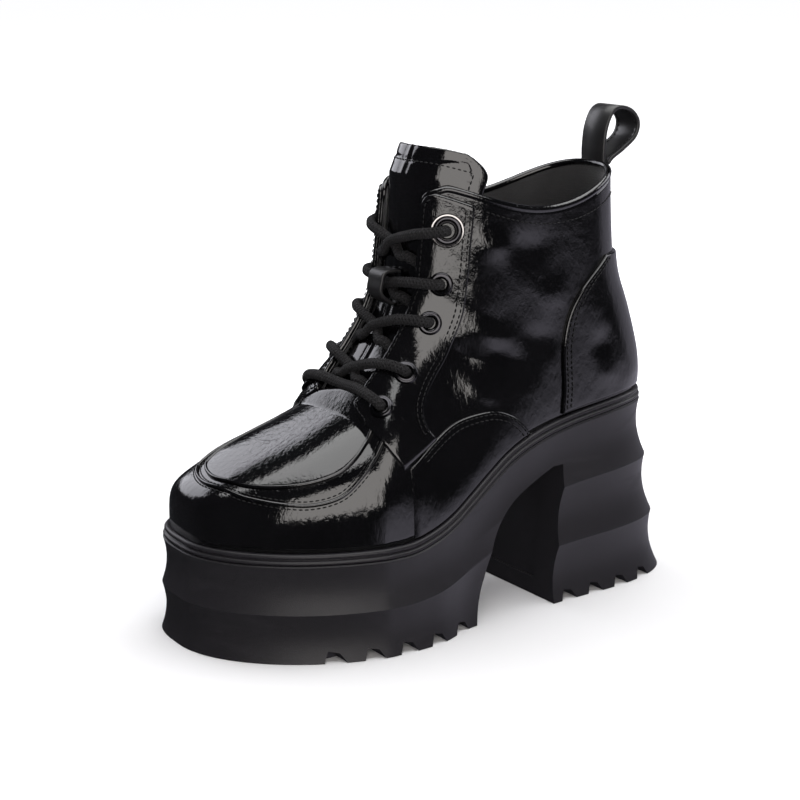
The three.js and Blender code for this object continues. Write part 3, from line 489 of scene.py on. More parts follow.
# Creases where the ankle bends: side, y, z of the middle, half length, angle, half width, depth
CREASES = ((1, 6, 122, 16, -35, 5.0, 1.1), (1, 18, 131, 14, -28, 4.5, -0.8),
           (1, 30, 118, 18, -20, 6.0, 0.9), (1, 12, 106, 15, -30, 4.0, -0.7),
           (1, 44, 126, 16, -12, 6.5, 0.8), (1, 52, 146, 14, 10, 7.0, -0.6),
           (1, 40, 168, 17, 5, 7.0, 0.7), (1, 20, 170, 12, -5, 5.0, -0.6),
           (1, 80, 120, 10, -5, 6.0, 0.6), (1, 84, 105, 10, 0, 5.0, -0.4),
           (-1, 6, 122, 16, -35, 5.0, 1.1), (-1, 20, 133, 14, -25, 4.5, -0.8),
           (-1, 32, 117, 18, -18, 6.0, 0.9), (-1, 46, 128, 16, -12, 6.5, 0.8),
           (-1, 44, 164, 17, 5, 7.0, 0.6), (-1, 22, 176, 12, -5, 5.0, -0.5))


def creases(points):
    """Inward depth of the listed creases: soft troughs and ridges along short lines, each a
    Gaussian across and a raised cosine along."""
    depth = np.zeros(points.shape[:-1])
    side = np.sign(points[..., 0] - ridge_x(points[..., 1]))
    for which, y, z, half_length, angle, half_width, drop in CREASES:
        c, s = math.cos(math.radians(angle)), math.sin(math.radians(angle))
        along = (points[..., 1] - y) * c + (points[..., 2] - z) * s
        across = -(points[..., 1] - y) * s + (points[..., 2] - z) * c
        across = across - 0.012 * along**2
        fade = 0.5 + 0.5 * np.cos(np.pi * np.clip(along / half_length, -1, 1))
        shape = np.exp(-((across / half_width) ** 2)) * fade
        depth += np.where(side == which, drop * shape, 0)
    return depth


def lifted(points, normals, height):
    """Points of the creased outer form raised by height along its normals."""
    return points + normals * (np.asarray(height) - creases(points))[..., None]


# Meshes


def grid_faces(rows, across, closed=False):
    """Quads of a grid, wrapped round its second direction where closed."""
    i = np.arange(rows - 1)[:, None]
    j = np.arange(across if closed else across - 1)[None, :]
    k = (j + 1) % across
    return np.stack(np.broadcast_arrays(i * across + j, (i + 1) * across + j,
                                        (i + 1) * across + k, i * across + k), -1).reshape(-1, 4)


def new_mesh(name, points, faces):
    """Mesh of points in the boot's own millimetres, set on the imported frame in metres."""
    mesh = bpy.data.meshes.new(name)
    mesh.from_pydata((np.asarray(points).reshape(-1, 3) + SHIFT) / 1000, [],
                     [list(face) for face in faces])
    return mesh


def tidy_mesh(mesh):
    """Merges doubles, drops flat faces and turns the faces outwards."""
    work = bmesh.new()
    work.from_mesh(mesh)
    bmesh.ops.remove_doubles(work, verts=work.verts, dist=2e-5)
    bmesh.ops.dissolve_degenerate(work, edges=work.edges, dist=1e-7)
    bmesh.ops.recalc_face_normals(work, faces=work.faces)
    work.to_mesh(mesh)
    work.free()


def finish_piece(name, mesh, finish, replaced=()):
    """Puts a mesh in the scene as a piece of the boot."""
    piece = bpy.data.objects.new(name, mesh)
    bpy.context.scene.collection.objects.link(piece)
    mesh.materials.append(finish)
    mesh.polygons.foreach_set("use_smooth", np.full(len(mesh.polygons), True))
    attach(piece, "root")
    if replaced:
        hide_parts(*replaced)
    return piece


def solidify(piece, thickness):
    """Gives an open sheet its wall, inwards."""
    modifier = piece.modifiers.new("wall", "SOLIDIFY")
    modifier.thickness = thickness / 1000
    modifier.offset = -1


def crowded(length, edge, count):
    """Shares along a length, crowded into both ends so that an edge radius is round."""
    share = min(0.3, edge / max(length, 1e-6))
    ends = share * np.array([0, 0.05, 0.2, 0.42, 0.7, 1.0])
    middle = np.linspace(share, 1 - share, count)[1:-1]
    return np.concatenate([ends, middle, 1 - ends[::-1]])


def border_distance(points):
    """Distance to the nearest border of a grid, along its own lines."""
    best = np.full(points.shape[:2], np.inf)
    for axis in (0, 1):
        steps = np.linalg.norm(np.diff(points, axis=axis), axis=-1)
        run = np.cumsum(steps, axis=axis)
        zero = np.zeros_like(np.take(run, [0], axis=axis))
        run = np.concatenate([zero, run], axis=axis)
        total = np.take(run, [-1], axis=axis)
        best = np.minimum(best, np.minimum(run, total - run))
    return best


def rounded(near, radius):
    """Quarter circle from 0 at a border to 1 at a radius from it."""
    return np.sqrt(np.clip(1 - (1 - np.clip(near / radius, 0, 1)) ** 2, 0, 1))


def closed_sheet(name, skin, floor):
    """Mesh of two grids of points, upper and lower, with walls between their borders."""
    rows, across = skin.shape[:2]
    count = rows * across
    faces = grid_faces(rows, across)
    index = np.arange(count).reshape(rows, across)
    rim = np.concatenate([index[0, :-1], index[:-1, -1], index[-1, :0:-1], index[:0:-1, 0]])
    ahead = np.roll(rim, -1)
    walls = np.stack([rim, ahead, ahead + count, rim + count], -1)
    mesh = new_mesh(name, np.concatenate([skin.reshape(-1, 3), floor.reshape(-1, 3)]),
                    np.concatenate([faces, faces[:, ::-1] + count, walls]))
    tidy_mesh(mesh)
    return mesh


def panel(name, points, base, top, replaced=(), edge=1.0, fade=1.0, under=0.25):
    """A lapped patent panel: the form's surface raised from base to top with its border rounded
    over, a quarter circle of radius edge, and closed underneath."""
    normals = grid_normals(points)
    rise = (top - base) * rounded(border_distance(points), edge) * fade
    skin = lifted(points, normals, base + rise)
    floor = lifted(points, normals, np.full(points.shape[:2], base - under))
    return finish_piece(name, closed_sheet(name, skin, floor), finish_of("patent"),
                        replaced)


def beside(path, normals, distance):
    """The path moved sideways over the surface by a distance."""
    return path + unit(np.cross(normals, unit(np.gradient(path, axis=0)))) * distance


def frames_along(path, up):
    """Sides and ups carried along a path, with up as the wished direction."""
    tangent = unit(np.gradient(path, axis=0))
    side = unit(np.cross(tangent, np.broadcast_to(up, path.shape)))
    return side, unit(np.cross(side, tangent))


def sweep(path, up, wide, high, sides):
    """Tube along a path: an ellipse of half sizes wide and high, turned with up."""
    side, lift = frames_along(path, up)
    angle = 2 * np.pi * np.arange(sides) / sides
    c, s = np.cos(angle), np.sin(angle)
    wide = np.broadcast_to(wide, len(path))[:, None, None]
    high = np.broadcast_to(high, len(path))[:, None, None]
    return (path[:, None, :] + side[:, None, :] * c[None, :, None] * wide
            + lift[:, None, :] * s[None, :, None] * high)


def tube_mesh(name, rings):
    """Mesh of a swept tube with its ends closed. UV: length in centimetres and turn."""
    rows, sides = rings.shape[:2]
    centre = rings.mean(axis=1)
    run = np.concatenate([[0], np.cumsum(np.linalg.norm(np.diff(centre, axis=0), axis=1))])
    ring_uv = np.stack(np.broadcast_arrays(run[:, None] / 10,
                                           np.abs(np.linspace(-1, 1, sides))[None, :]), -1)
    ends = [range(sides)[::-1], range((rows - 1) * sides, rows * sides)]
    mesh = new_mesh(name, rings, [*grid_faces(rows, sides, closed=True), *ends])
    layer = mesh.uv_layers.new(name="UVMap")
    loops = np.zeros(len(mesh.loops), np.int32)
    mesh.loops.foreach_get("vertex_index", loops)
    layer.data.foreach_set("uv", ring_uv.reshape(-1, 2)[loops].ravel())
    tidy_mesh(mesh)
    return mesh


def join_meshes(name, meshes):
    """One mesh from several."""
    work = bmesh.new()
    for mesh in meshes:
        work.from_mesh(mesh)
        bpy.data.meshes.remove(mesh)
    joined = bpy.data.meshes.new(name)
    work.to_mesh(joined)
    work.free()
    return joined


def stitch_points(line, normals):
    """Small thread lengths along a line: a capsule is copied to each place as
    place + tangent x + side y + normal z, arched so that its ends dive in."""
    pitch, length, width = sizes().stitch_pitch, sizes().stitch_length, sizes().thread_width
    run = np.concatenate([[0], np.cumsum(np.linalg.norm(np.diff(line, axis=0), axis=1))])
    count = max(2, int(run[-1] / pitch))
    at = (np.arange(count) + 0.5) * run[-1] / count
    centre = np.stack([np.interp(at, run, line[:, k]) for k in range(3)], 1)
    tangent = unit(np.stack([np.interp(at + 0.4, run, line[:, k])
                             - np.interp(at - 0.4, run, line[:, k]) for k in range(3)], 1))
    normal = unit(np.stack([np.interp(at, run, normals[:, k]) for k in range(3)], 1))
    normal = unit(normal - tangent * np.sum(normal * tangent, axis=1, keepdims=True))
    side = np.cross(normal, tangent)
    rings, sides = 5, 6
    u = np.linspace(-1, 1, rings)
    angle = 2 * np.pi * np.arange(sides) / sides
    radius = width / 2 * np.sqrt(np.clip(1 - u**2 * 0.92, 0, 1))
    local = np.stack(np.broadcast_arrays(
        u[:, None] * length / 2, radius[:, None] * np.cos(angle),
        radius[:, None] * np.sin(angle) + (1 - u[:, None] ** 2) * width * 0.35), -1)
    local = local.reshape(-1, 3)
    points = (centre[:, None] + tangent[:, None] * local[None, :, :1]
              + side[:, None] * local[None, :, 1:2] + normal[:, None] * local[None, :, 2:])
    body = grid_faces(rings, sides, closed=True)
    ends = np.array([[0, 1, 2, 3], [0, 3, 4, 5]])
    last = (rings - 1) * sides
    one = np.concatenate([body[:, ::-1], ends, (ends + last)[:, ::-1]])
    faces = one[None] + (np.arange(count) * rings * sides)[:, None, None]
    return points.reshape(-1, 3), faces.reshape(-1, 4)


def stitch_piece(name, runs):
    """One piece of thread lengths along several lines."""
    points, faces, start = [], [], 0
    for line, normals in runs:
        made, quads = stitch_points(line, normals)
        points.append(made)
        faces.append(quads + start)
        start += len(made)
    mesh = new_mesh(name, np.concatenate(points), np.concatenate(faces))
    return finish_piece(name, mesh, finish_of("thread"))


# Node shorthand


class Wire:
    """A shader socket on which Python arithmetic adds Math nodes."""

    def __init__(self, finish, socket):
        self.finish, self.socket = finish, socket

    def maths(self, operation, *others, flip=False):
        """A Math node on this wire and others, flipped for the reflected operators."""
        values = [self, *others]
        if flip:
            values.reverse()
        return self.finish.node("ShaderNodeMath", {"operation": operation},
                                dict(enumerate(values)))

    def __add__(self, other):
        return self.maths("ADD", other)

    def __radd__(self, other):
        return self.maths("ADD", other, flip=True)

    def __sub__(self, other):
        return self.maths("SUBTRACT", other)

    def __rsub__(self, other):
        return self.maths("SUBTRACT", other, flip=True)

    def __mul__(self, other):
        return self.maths("MULTIPLY", other)

    def __rmul__(self, other):
        return self.maths("MULTIPLY", other, flip=True)

    def clamped(self, low, high):
        """0 up to low, 1 from high, and straight between."""
        return self.finish.node("ShaderNodeMapRange", {"clamp": True},
                                {"Value": self, "From Min": low, "From Max": high})


class Finish:
    """A material whose nodes are added one by one."""

    def __init__(self, name, **constants):
        self.material = bpy.data.materials.new(name)
        self.material.use_nodes = True
        self.tree = self.material.node_tree
        self.shader = self.tree.nodes["Principled BSDF"]
        for key, value in constants.items():
            self.shader.inputs[key.replace("_", " ")].default_value = value

    def node(self, kind, settings=None, sockets=None, output=0):
        """A node of a type, with its settings first and then its sockets' values or links."""
        made = self.tree.nodes.new(kind)
        for key, value in (settings or {}).items():
            setattr(made, key, value)
        for key, value in (sockets or {}).items():
            if isinstance(value, Wire):
                self.tree.links.new(value.socket, made.inputs[key])
            else:
                made.inputs[key].default_value = value
        return Wire(self, made.outputs[output])

    def place(self, source="Object"):
        """Coordinates that a pattern reads."""
        return self.node("ShaderNodeTexCoord", output=source)

    def noise(self, scale, detail=2.0, roughness=0.5, distortion=0.0, place=None):
        """Fractal noise of so many bumps a metre."""
        return self.node("ShaderNodeTexNoise", None, {
            "Vector": place or self.place(), "Scale": scale, "Detail": detail,
            "Roughness": roughness, "Distortion": distortion})

    def cells(self, scale, feature="F1"):
        """Distance within loose cells, so many a metre."""
        return self.node("ShaderNodeTexVoronoi", {"feature": feature},
                         {"Vector": self.place(), "Scale": scale})

    def stretched(self, factors):
        """Object coordinates scaled along each axis."""
        return self.node("ShaderNodeMapping", None, {"Vector": self.place(), "Scale": factors})

    def mix(self, factor, first, second):
        """Colour between two colours."""
        made = self.tree.nodes.new("ShaderNodeMix")
        made.data_type = "RGBA"
        for key, value in ((0, factor), (6, first), (7, second)):
            if isinstance(value, Wire):
                self.tree.links.new(value.socket, made.inputs[key])
            else:
                made.inputs[key].default_value = value
        return Wire(self, made.outputs[2])

    def bump(self, height, strength, distance, under=None):
        """Normal raised by a height, over another bump where given."""
        sockets = {"Height": height, "Strength": strength, "Distance": distance}
        if under is not None:
            sockets["Normal"] = under
        return self.node("ShaderNodeBump", None, sockets)

    def feed(self, **wires):
        """Links wires to the shader's sockets."""
        for key, wire in wires.items():
            self.tree.links.new(wire.socket, self.shader.inputs[key.replace("_", " ")])
        return self.material


class Surround(Finish):
    """The studio round the boot: dim above, with the pale floor's glow low down behind it."""

    def __init__(self, name):
        self.material = bpy.data.worlds.new(name)
        self.material.use_nodes = True
        self.tree = self.material.node_tree
        self.shader = self.tree.nodes["Background"]


def colour(rgb, factor=1.0):
    """An opaque colour, made lighter or darker by a factor."""
    return (rgb[0] * factor, rgb[1] * factor, rgb[2] * factor, 1.0)


def patent(name, rgb, ripple=1.0):
    """Patent leather: a glossy black film with the fine crinkle of coated leather and broad
    soft waves."""
    finish = Finish(name, Base_Color=colour(rgb), Roughness=0.06, IOR=1.62)
    wave = finish.noise(48, 2.0, 0.5, 0.4)
    crinkle = finish.noise(430, 3.0, 0.6, 0.8, finish.stretched((1.0, 1.0, 0.5)))
    pores = finish.cells(1700)
    broad = finish.bump(wave, 0.20 * ripple, 0.0016)
    fine = finish.bump(crinkle, 0.6 * ripple, 0.00018, broad)
    normal = finish.bump(pores, 0.12 * ripple, 0.00008, fine)
    handled = finish.noise(26, 3.0, 0.6).clamped(0.35, 0.75)
    return finish.feed(Normal=normal, Roughness=0.045 + handled * 0.06,
                       Base_Color=finish.mix(handled, colour(rgb, 0.7), colour(rgb, 1.6)))


def moulded(name, rgb, rough):
    """Moulded sole compound: satin black with fine spark-eroded grain and scuffed patches."""
    finish = Finish(name, Base_Color=colour(rgb), Roughness=rough, Specular_IOR_Level=0.3)
    grain = finish.noise(2600, 2.0, 0.6)
    flow = finish.noise(38, 3.0, 0.6, 0.4)
    scuff = finish.noise(60, 6.0, 0.7, 0.8, finish.stretched((1.0, 0.35, 2.2))).clamped(0.55, 0.8)
    normal = finish.bump(grain, 0.35, 0.00012, finish.bump(flow, 0.12, 0.0008))
    return finish.feed(Normal=normal, Roughness=rough - 0.08 + scuff * 0.16 + grain * 0.1,
                       Base_Color=finish.mix(scuff, colour(rgb), colour(rgb, 1.45)))


def lining(name, rgb):
    """Padded lining: matte napped cloth with a fine knit."""
    finish = Finish(name, Base_Color=colour(rgb), Roughness=0.9, Sheen_Weight=0.35,
                    Sheen_Roughness=0.45)
    knit = finish.node("ShaderNodeTexWave", {"wave_type": "BANDS", "bands_direction": "Z"},
                       {"Vector": finish.place(), "Scale": 260.0, "Distortion": 1.6,
                        "Detail": 2.0, "Detail Scale": 3.0})
    nap = finish.noise(1500, 3.0, 0.6)
    tone = finish.noise(45, 3.0, 0.6).clamped(0.3, 0.7)
    normal = finish.bump(nap, 0.5, 0.0002, finish.bump(knit, 0.25, 0.0002))
    return finish.feed(Normal=normal, Roughness=0.82 + nap * 0.16,
                       Base_Color=finish.mix(tone, colour(rgb, 0.75), colour(rgb, 1.35)))


def braid(name, rgb):
    """Round braided lace: two crossing spirals of threads laid over the tube's own UV, with
    painted shade in the grooves between the threads and a painted highlight on their crests.
    """
    finish = Finish(name, Base_Color=colour(rgb), Roughness=0.8, Specular_IOR_Level=0.3)
    place = finish.place("UV")
    along = finish.node("ShaderNodeSeparateXYZ", None, {"Vector": place}, output="X")
    turn = finish.node("ShaderNodeSeparateXYZ", None, {"Vector": place}, output="Y")
    first = (along * 40.0 + turn * 15.0).maths("SINE")
    second = (along * 40.0 - turn * 15.0).maths("SINE")
    plait_and_painted_shade = first.maths("MAXIMUM", second) * 0.5 + 0.5
    fuzz = finish.noise(3000, 2.0, 0.6)
    normal = finish.bump(fuzz, 0.3, 0.0001, finish.bump(plait_and_painted_shade, 1.0, 0.0006))
    # The base colour darkens in the braid's grooves and lightens on the threads' crests, following
    # the bump: painted shade and painted highlight.
    return finish.feed(Normal=normal, Roughness=0.66 + plait_and_painted_shade * 0.2,
                       Base_Color=finish.mix(plait_and_painted_shade, colour(rgb, 0.7), colour(rgb, 1.3)))


def thread(name, rgb):
    """Bonded sewing thread."""
    finish = Finish(name, Base_Color=colour(rgb), Roughness=0.5, Specular_IOR_Level=0.25)
    twist = finish.noise(5200, 1.0, 0.5)
    return finish.feed(Normal=finish.bump(twist, 0.5, 0.00008),
                       Roughness=0.35 + twist * 0.25)


def metal(name, rgb, rough):
    """Plated or enamelled eyelet metal with hairline wear."""
    finish = Finish(name, Base_Color=colour(rgb), Roughness=rough, Metallic=1.0)
    wear = finish.noise(900, 4.0, 0.7, 0.5, finish.stretched((1.0, 1.0, 3.0)))
    return finish.feed(Normal=finish.bump(wear, 0.06, 0.0001),
                       Roughness=rough + wear.clamped(0.5, 0.8) * 0.18,
                       Base_Color=finish.mix(wear.clamped(0.55, 0.8), colour(rgb),
                                             colour(rgb, 0.8)))


def smooth_leather(name, rgb, rough=0.38):
    """Smooth finished leather strap with a fine grain."""
    finish = Finish(name, Base_Color=colour(rgb), Roughness=rough, Coat_Weight=0.2,
                    Coat_Roughness=0.25)
    grain = finish.cells(1500, "DISTANCE_TO_EDGE")
    soft = finish.noise(160, 4.0, 0.6)
    normal = finish.bump(grain, 0.35, 0.00012, finish.bump(soft, 0.2, 0.0003))
    return finish.feed(Normal=normal, Roughness=rough + soft * 0.14,
                       Base_Color=finish.mix(soft, colour(rgb, 0.8), colour(rgb, 1.4)))


def floor_finish(rgb):
    """Plain pale studio floor that glows softly further out, so that it stays even."""
    finish = Finish("studio_floor", Base_Color=colour(rgb), Roughness=0.9,
                    Specular_IOR_Level=0.1, Emission_Strength=1.0)
    away = finish.node("ShaderNodeVectorMath", {"operation": "LENGTH"},
                       {0: finish.place()}, output="Value")
    glow = away.clamped(0.16, 0.5)
    return finish.feed(Emission_Color=finish.mix(glow, (0, 0, 0, 1), (0.96, 0.96, 0.965, 1)))


# User values


def amount(name, description, default, low, **kind):
    """A number that a user may change."""
    return bpy.props.FloatProperty(name=name, description=description, default=default, min=low,
                                   **kind)


def tint(name, description, default):
    """A colour that a user may change."""
    return bpy.props.FloatVectorProperty(name=name, description=description, default=default,
                                         subtype="COLOR", min=0, max=1)


class BootSizes(bpy.types.PropertyGroup):
    """Sizes of what the solids leave to the looks, in millimetres."""

    stitch_pitch: amount("Stitch pitch", "Distance between thread lengths", 2.5, 1)
    stitch_length: amount("Stitch length", "Length of one thread length", 1.9, 0.5)
    thread_width: amount("Thread width", "Width of the sewing thread", 0.62, 0.1)
    panel_rise: amount("Panel rise", "How far a lapped panel stands out", 0.9, 0.1)
    seam_bead: amount("Seam bead", "Width of the toe seam's rolled bead", 1.9, 0.2)
    binding: amount("Collar binding", "Thickness of the rolled collar edge", 4.0, 1)
    crinkle: amount("Crinkle", "Strength of the patent film's crinkle", 1.0, 0, subtype="FACTOR")


class BootColours(bpy.types.PropertyGroup):
    """Base colours of the finishes."""

    patent: tint("Patent leather", "Colour under the gloss", (0.0016, 0.0015, 0.0018))
    rubber: tint("Sole", "Moulded sole", (0.0130, 0.0120, 0.0145))
    lining: tint("Lining", "Padded lining and insole", (0.020, 0.0195, 0.0205))
    lace: tint("Laces", "Braided laces", (0.0072, 0.0068, 0.0076))
    silver: tint("Top eyelets", "Plated metal", (0.38, 0.365, 0.36))
    floor: tint("Floor", "Studio floor", (0.86, 0.86, 0.87))


def sizes():
    """The user's sizes."""
    return bpy.context.scene.boot_sizes


def shades():
    """The user's colours."""
    return bpy.context.scene.boot_colours


THREAD_BLACK = (0.006, 0.006, 0.0065)
ENAMEL_BLACK = (0.05, 0.049, 0.053)
STRAP_BLACK = (0.0075, 0.0072, 0.0078)
FINISHES = {}


def finish_of(name):
    """The shared finishes, each made once."""
    made = {
        "patent": lambda: patent("patent_black", shades().patent, sizes().crinkle),
        "patent_tongue": lambda: patent("patent_tongue", shades().patent, 0.7),
        "sole": lambda: moulded("sole_compound", shades().rubber, 0.46),
        "welt": lambda: moulded("welt_compound", shades().rubber, 0.40),
        "lining": lambda: lining("padded_lining", shades().lining),
        "lace": lambda: braid("lace_braid", shades().lace),
        "thread": lambda: thread("sewing_thread", THREAD_BLACK),
        "silver": lambda: metal("silver_plate", shades().silver, 0.16),
        "enamel": lambda: metal("black_enamel", ENAMEL_BLACK, 0.15),
        "strap": lambda: smooth_leather("strap_leather", STRAP_BLACK),
    }
    if name not in FINISHES:
        FINISHES[name] = made[name]()
    return FINISHES[name]


# Sole, welt and insole


def feather_loop(count):
    """Closed feather line with even spacing, and its outward normals in plan."""
    halves = []
    for side, power in ((1, LATERAL_ROUND), (-1, MEDIAL_ROUND)):
        turn = np.linspace(0, np.pi / 2, 80)
        back = BACK_Y - HEEL_ROUND * (1 - np.cos(turn) ** (2 / BACK_ROUND))
        body = np.linspace(back[-1], BALL_Y, 120)[1:]
        toe = BALL_Y - TOE_REACH * np.sin(turn[1:]) ** (2 / power)
        y = np.concatenate([back, body])
        half = body_half(side, y, feather_z(y)) * round_in((BACK_Y - y) / HEEL_ROUND, BACK_ROUND)
        ball = BALL_LATERAL if side > 0 else BALL_MEDIAL
        forward = np.clip((BALL_Y - toe) / TOE_REACH, 0, 1)
        toe_half = ball * np.clip(1 - forward**power, 0, 1) ** (1 / power)
        x = np.concatenate([ridge_x(y) * (half > 0) + side * half, ridge_x(toe) + side * toe_half])
        halves.append(np.stack([x, np.concatenate([y, toe])], 1))
    loop = np.concatenate([halves[0], halves[1][-2::-1]])
    loop = even(loop, count + 1)[:-1]
    way = np.roll(loop, -1, axis=0) - np.roll(loop, 1, axis=0)
    return loop, unit(np.stack([-way[:, 1], way[:, 0]], 1))


def foot_ring(loop, normals, out, height):
    """The feather line moved out in plan and set at a height."""
    grown = loop + normals * np.broadcast_to(out, len(loop))[:, None]
    return np.concatenate([grown, np.broadcast_to(height, len(loop))[:, None]], 1)


def wave(share, bands):
    """Scallops down the side: half sines meeting in sharp lips."""
    return np.abs(np.sin(np.pi * ((share * bands) % 1))) ** 0.9


def ring_solid(name, rings, capped=True):
    """Mesh through rings, with flat faces over the first and last where capped."""
    rows, count = rings.shape[:2]
    ends = [range(count), range((rows - 1) * count, rows * count)[::-1]] if capped else []
    return new_mesh(name, rings, [*grid_faces(rows, count, closed=True), *ends])


def prism(name, outline, low, high):
    """A side-view outline as y, z carried across x."""
    outline = np.asarray(outline, float)
    count = len(outline)
    ends = [np.column_stack([np.full(count, x), outline]) for x in (low, high)]
    i = np.arange(count)
    sides = np.stack([i, (i + 1) % count, (i + 1) % count + count, i + count], -1)
    mesh = new_mesh(name, np.concatenate(ends), [*sides, i[::-1], i + count])
    tidy_mesh(mesh)
    return mesh


def cut(mesh, cutters):
    """The mesh with cutters taken away, as a new mesh."""
    body = bpy.data.objects.new("cut_body", mesh)
    bpy.context.scene.collection.objects.link(body)
    cutter = bpy.data.objects.new("cutter", join_meshes("cutter", cutters))
    bpy.context.scene.collection.objects.link(cutter)
    modifier = body.modifiers.new("cut", "BOOLEAN")
    modifier.operation, modifier.solver, modifier.object = "DIFFERENCE", "EXACT", cutter
    modifier.use_self = True
    graph = bpy.context.evaluated_depsgraph_get()
    result = bpy.data.meshes.new_from_object(body.evaluated_get(graph))
    for item in (body, cutter):
        bpy.data.objects.remove(item)
    return result


class BOOT_OT_sole(bpy.types.Operator):
    """Platform and block heel with side scallops, open arch, lugs and a ribbed tread"""

    bl_idname = "boot.sole"
    bl_label = "Sole"

    def execute(self, context):
        loop, normals = feather_loop(300)
        y = loop[:, 1]
        top = feather_z(y) - WELT_HEIGHT - FIT * 2
        heel_part = ramp(BALL_Y + HEEL_BLEND, BREAST_Y, y)
        back = ramp(BREAST_Y, BACK_Y, y)
        narrow = TREAD_NARROW * ramp(BALL_Y / 2, ARCH_FRONT_Y, y)
        rings = []
        for share in np.linspace(0, 1, SOLE_ROWS):
            fore = -SCALLOP_FORE * wave(share, 2) + (1 - share) * (TREAD_OUT - narrow)
            heel = -SCALLOP_HEEL * wave(share, 3)
            past = max(0.0, share - SOLE_LIP) / (1 - SOLE_LIP)
            lip = -0.8 * (1 - math.sqrt(max(0.0, 1 - past**2)))
            ring = foot_ring(loop, normals, LIP_OUT + fore + (heel - fore) * heel_part + lip,
                             share * top)
            ring[:, 1] += HEEL_FLARE * (1 - share) ** 1.15 * back
            rings.append(ring)
        mesh = ring_solid("sole_skin", np.array(rings))
        tidy_mesh(mesh)
        outline = curve_through(list(zip(ARCH_FRONT_Y + ARCH_SPAN * ARCH["back"],
                                         ARCH_TOP * ARCH["up"])), 40)
        outline = np.concatenate([outline, [[BREAST_Y + BREAST_LEAN, ARCH_TOP], [BREAST_Y, 0],
                                            [BREAST_Y, -FAR], [ARCH_FRONT_Y, -FAR]]])
        cutters = [prism("arch", outline, -FAR, FAR)]
        # A recessed panel in the heel's breast face
        breast = [[BREAST_Y - 3, 8], [BREAST_Y + 2.2, 8], [BREAST_Y + 6.6, 52], [BREAST_Y + 2, 52]]
        cutters.append(prism("breast", breast, -19, 19))
        fore = [(ARCH_FRONT_Y - LUG_PITCH * (n + 0.9), BALL_LATERAL, BALL_MEDIAL)
                for n in range(FORE_LUGS)]
        heel = [(BREAST_Y + LUG_PITCH * (n + 0.3), HEEL_HALF, HEEL_HALF)
                for n in range(HEEL_LUGS)]
        for y0, lateral, medial in fore + heel:
            tooth = [[y0, -1], [y0 + LUG_PITCH * 0.15, LUG_DEPTH],
                     [y0 + LUG_PITCH * 0.42, LUG_DEPTH * 0.8], [y0 + LUG_PITCH * 0.62, -1]]
            cutters.append(prism("lug", tooth, lateral - LUG_REACH, FAR))
            cutters.append(prism("lug", tooth, -FAR, LUG_REACH - medial))
        for first, end, half in RIBS:
            for y0 in np.arange(first, end, RIB_PITCH):
                rib = [[y0, -1], [y0 + 0.8, RIB_DEPTH], [y0 + 2.2, RIB_DEPTH], [y0 + 3.0, -1]]
                cutters.append(prism("rib", rib, -half - RIB_SHIFT, half - RIB_SHIFT))
        mesh = cut(mesh, cutters)
        piece = finish_piece("sole_skin", mesh, finish_of("sole"), ("sole",))
        mesh.set_sharp_from_angle(angle=math.radians(32))
        bevel = piece.modifiers.new("edges", "BEVEL")
        bevel.width, bevel.segments, bevel.limit_method = 0.0006, 2, "ANGLE"
        bevel.angle_limit = math.radians(40)
        return {"FINISHED"}


class BOOT_OT_welt(bpy.types.Operator):
    """Moulded welt with its groove and rolled rim"""

    bl_idname = "boot.welt"
    bl_label = "Welt"

    def execute(self, context):
        loop, normals = feather_loop(420)
        high = feather_z(loop[:, 1]) - FIT
        profile = ((-WELT_IN, -WELT_HEIGHT), (-WELT_IN, 0.0), (0.2, 0.0), (1.0, -0.05),
                   (WELT_OUT, -0.35), (WELT_OUT + 0.45, -0.9), (WELT_OUT + 0.5, -1.5),
                   (WELT_OUT + 0.1, -2.05), (WELT_OUT - 0.5, -2.35), (WELT_OUT - 0.5, -2.6),
                   (WELT_OUT + 0.3, -2.85), (WELT_OUT + 0.9, -3.25), (WELT_OUT + 1.1, -3.8),
                   (WELT_OUT + 0.9, -4.3), (WELT_OUT + 0.4, -WELT_HEIGHT))
        rings = np.array([foot_ring(loop, normals, out, high + up) for out, up in profile])
        rings = np.concatenate([rings, rings[:1]])
        mesh = ring_solid("welt_skin", rings, capped=False)
        tidy_mesh(mesh)
        finish_piece("welt_skin", mesh, finish_of("welt"), ("welt",))
        return {"FINISHED"}


class BOOT_OT_insole(bpy.types.Operator):
    """Insole board with a soft crowned sock"""

    bl_idname = "boot.insole"
    bl_label = "Insole"

    def execute(self, context):
        loop, normals = feather_loop(240)
        low = feather_z(loop[:, 1]) - FIT - WELT_HEIGHT
        edge = foot_ring(loop, normals, -WELT_IN - FIT, low)
        centre = np.column_stack([ridge_x(loop[:, 1]), loop[:, 1], low])
        heights = INSOLE_THICK * np.array([0, 0.6, 0.9, 1.0, 1.0, 0.97, 0.93])
        inward = (0, 0.0, 0.02, 0.08, 0.35, 0.7, 1.0)
        rings = []
        for up, share in zip(heights, inward):
            ring = edge + (centre - edge) * share
            ring[:, 2] = feather_z(ring[:, 1]) - FIT - WELT_HEIGHT + up
            rings.append(ring)
        mesh = ring_solid("insole_sock", np.array(rings), capped=False)
        work = bmesh.new()
        work.from_mesh(mesh)
        border = [edge for edge in work.edges if edge.is_boundary]
        bmesh.ops.holes_fill(work, edges=border, sides=0)
        work.to_mesh(mesh)
        work.free()
        tidy_mesh(mesh)
        piece = finish_piece("insole_sock", mesh, finish_of("lining"),
                             ("insole",))
        return {"FINISHED"}


# Upper


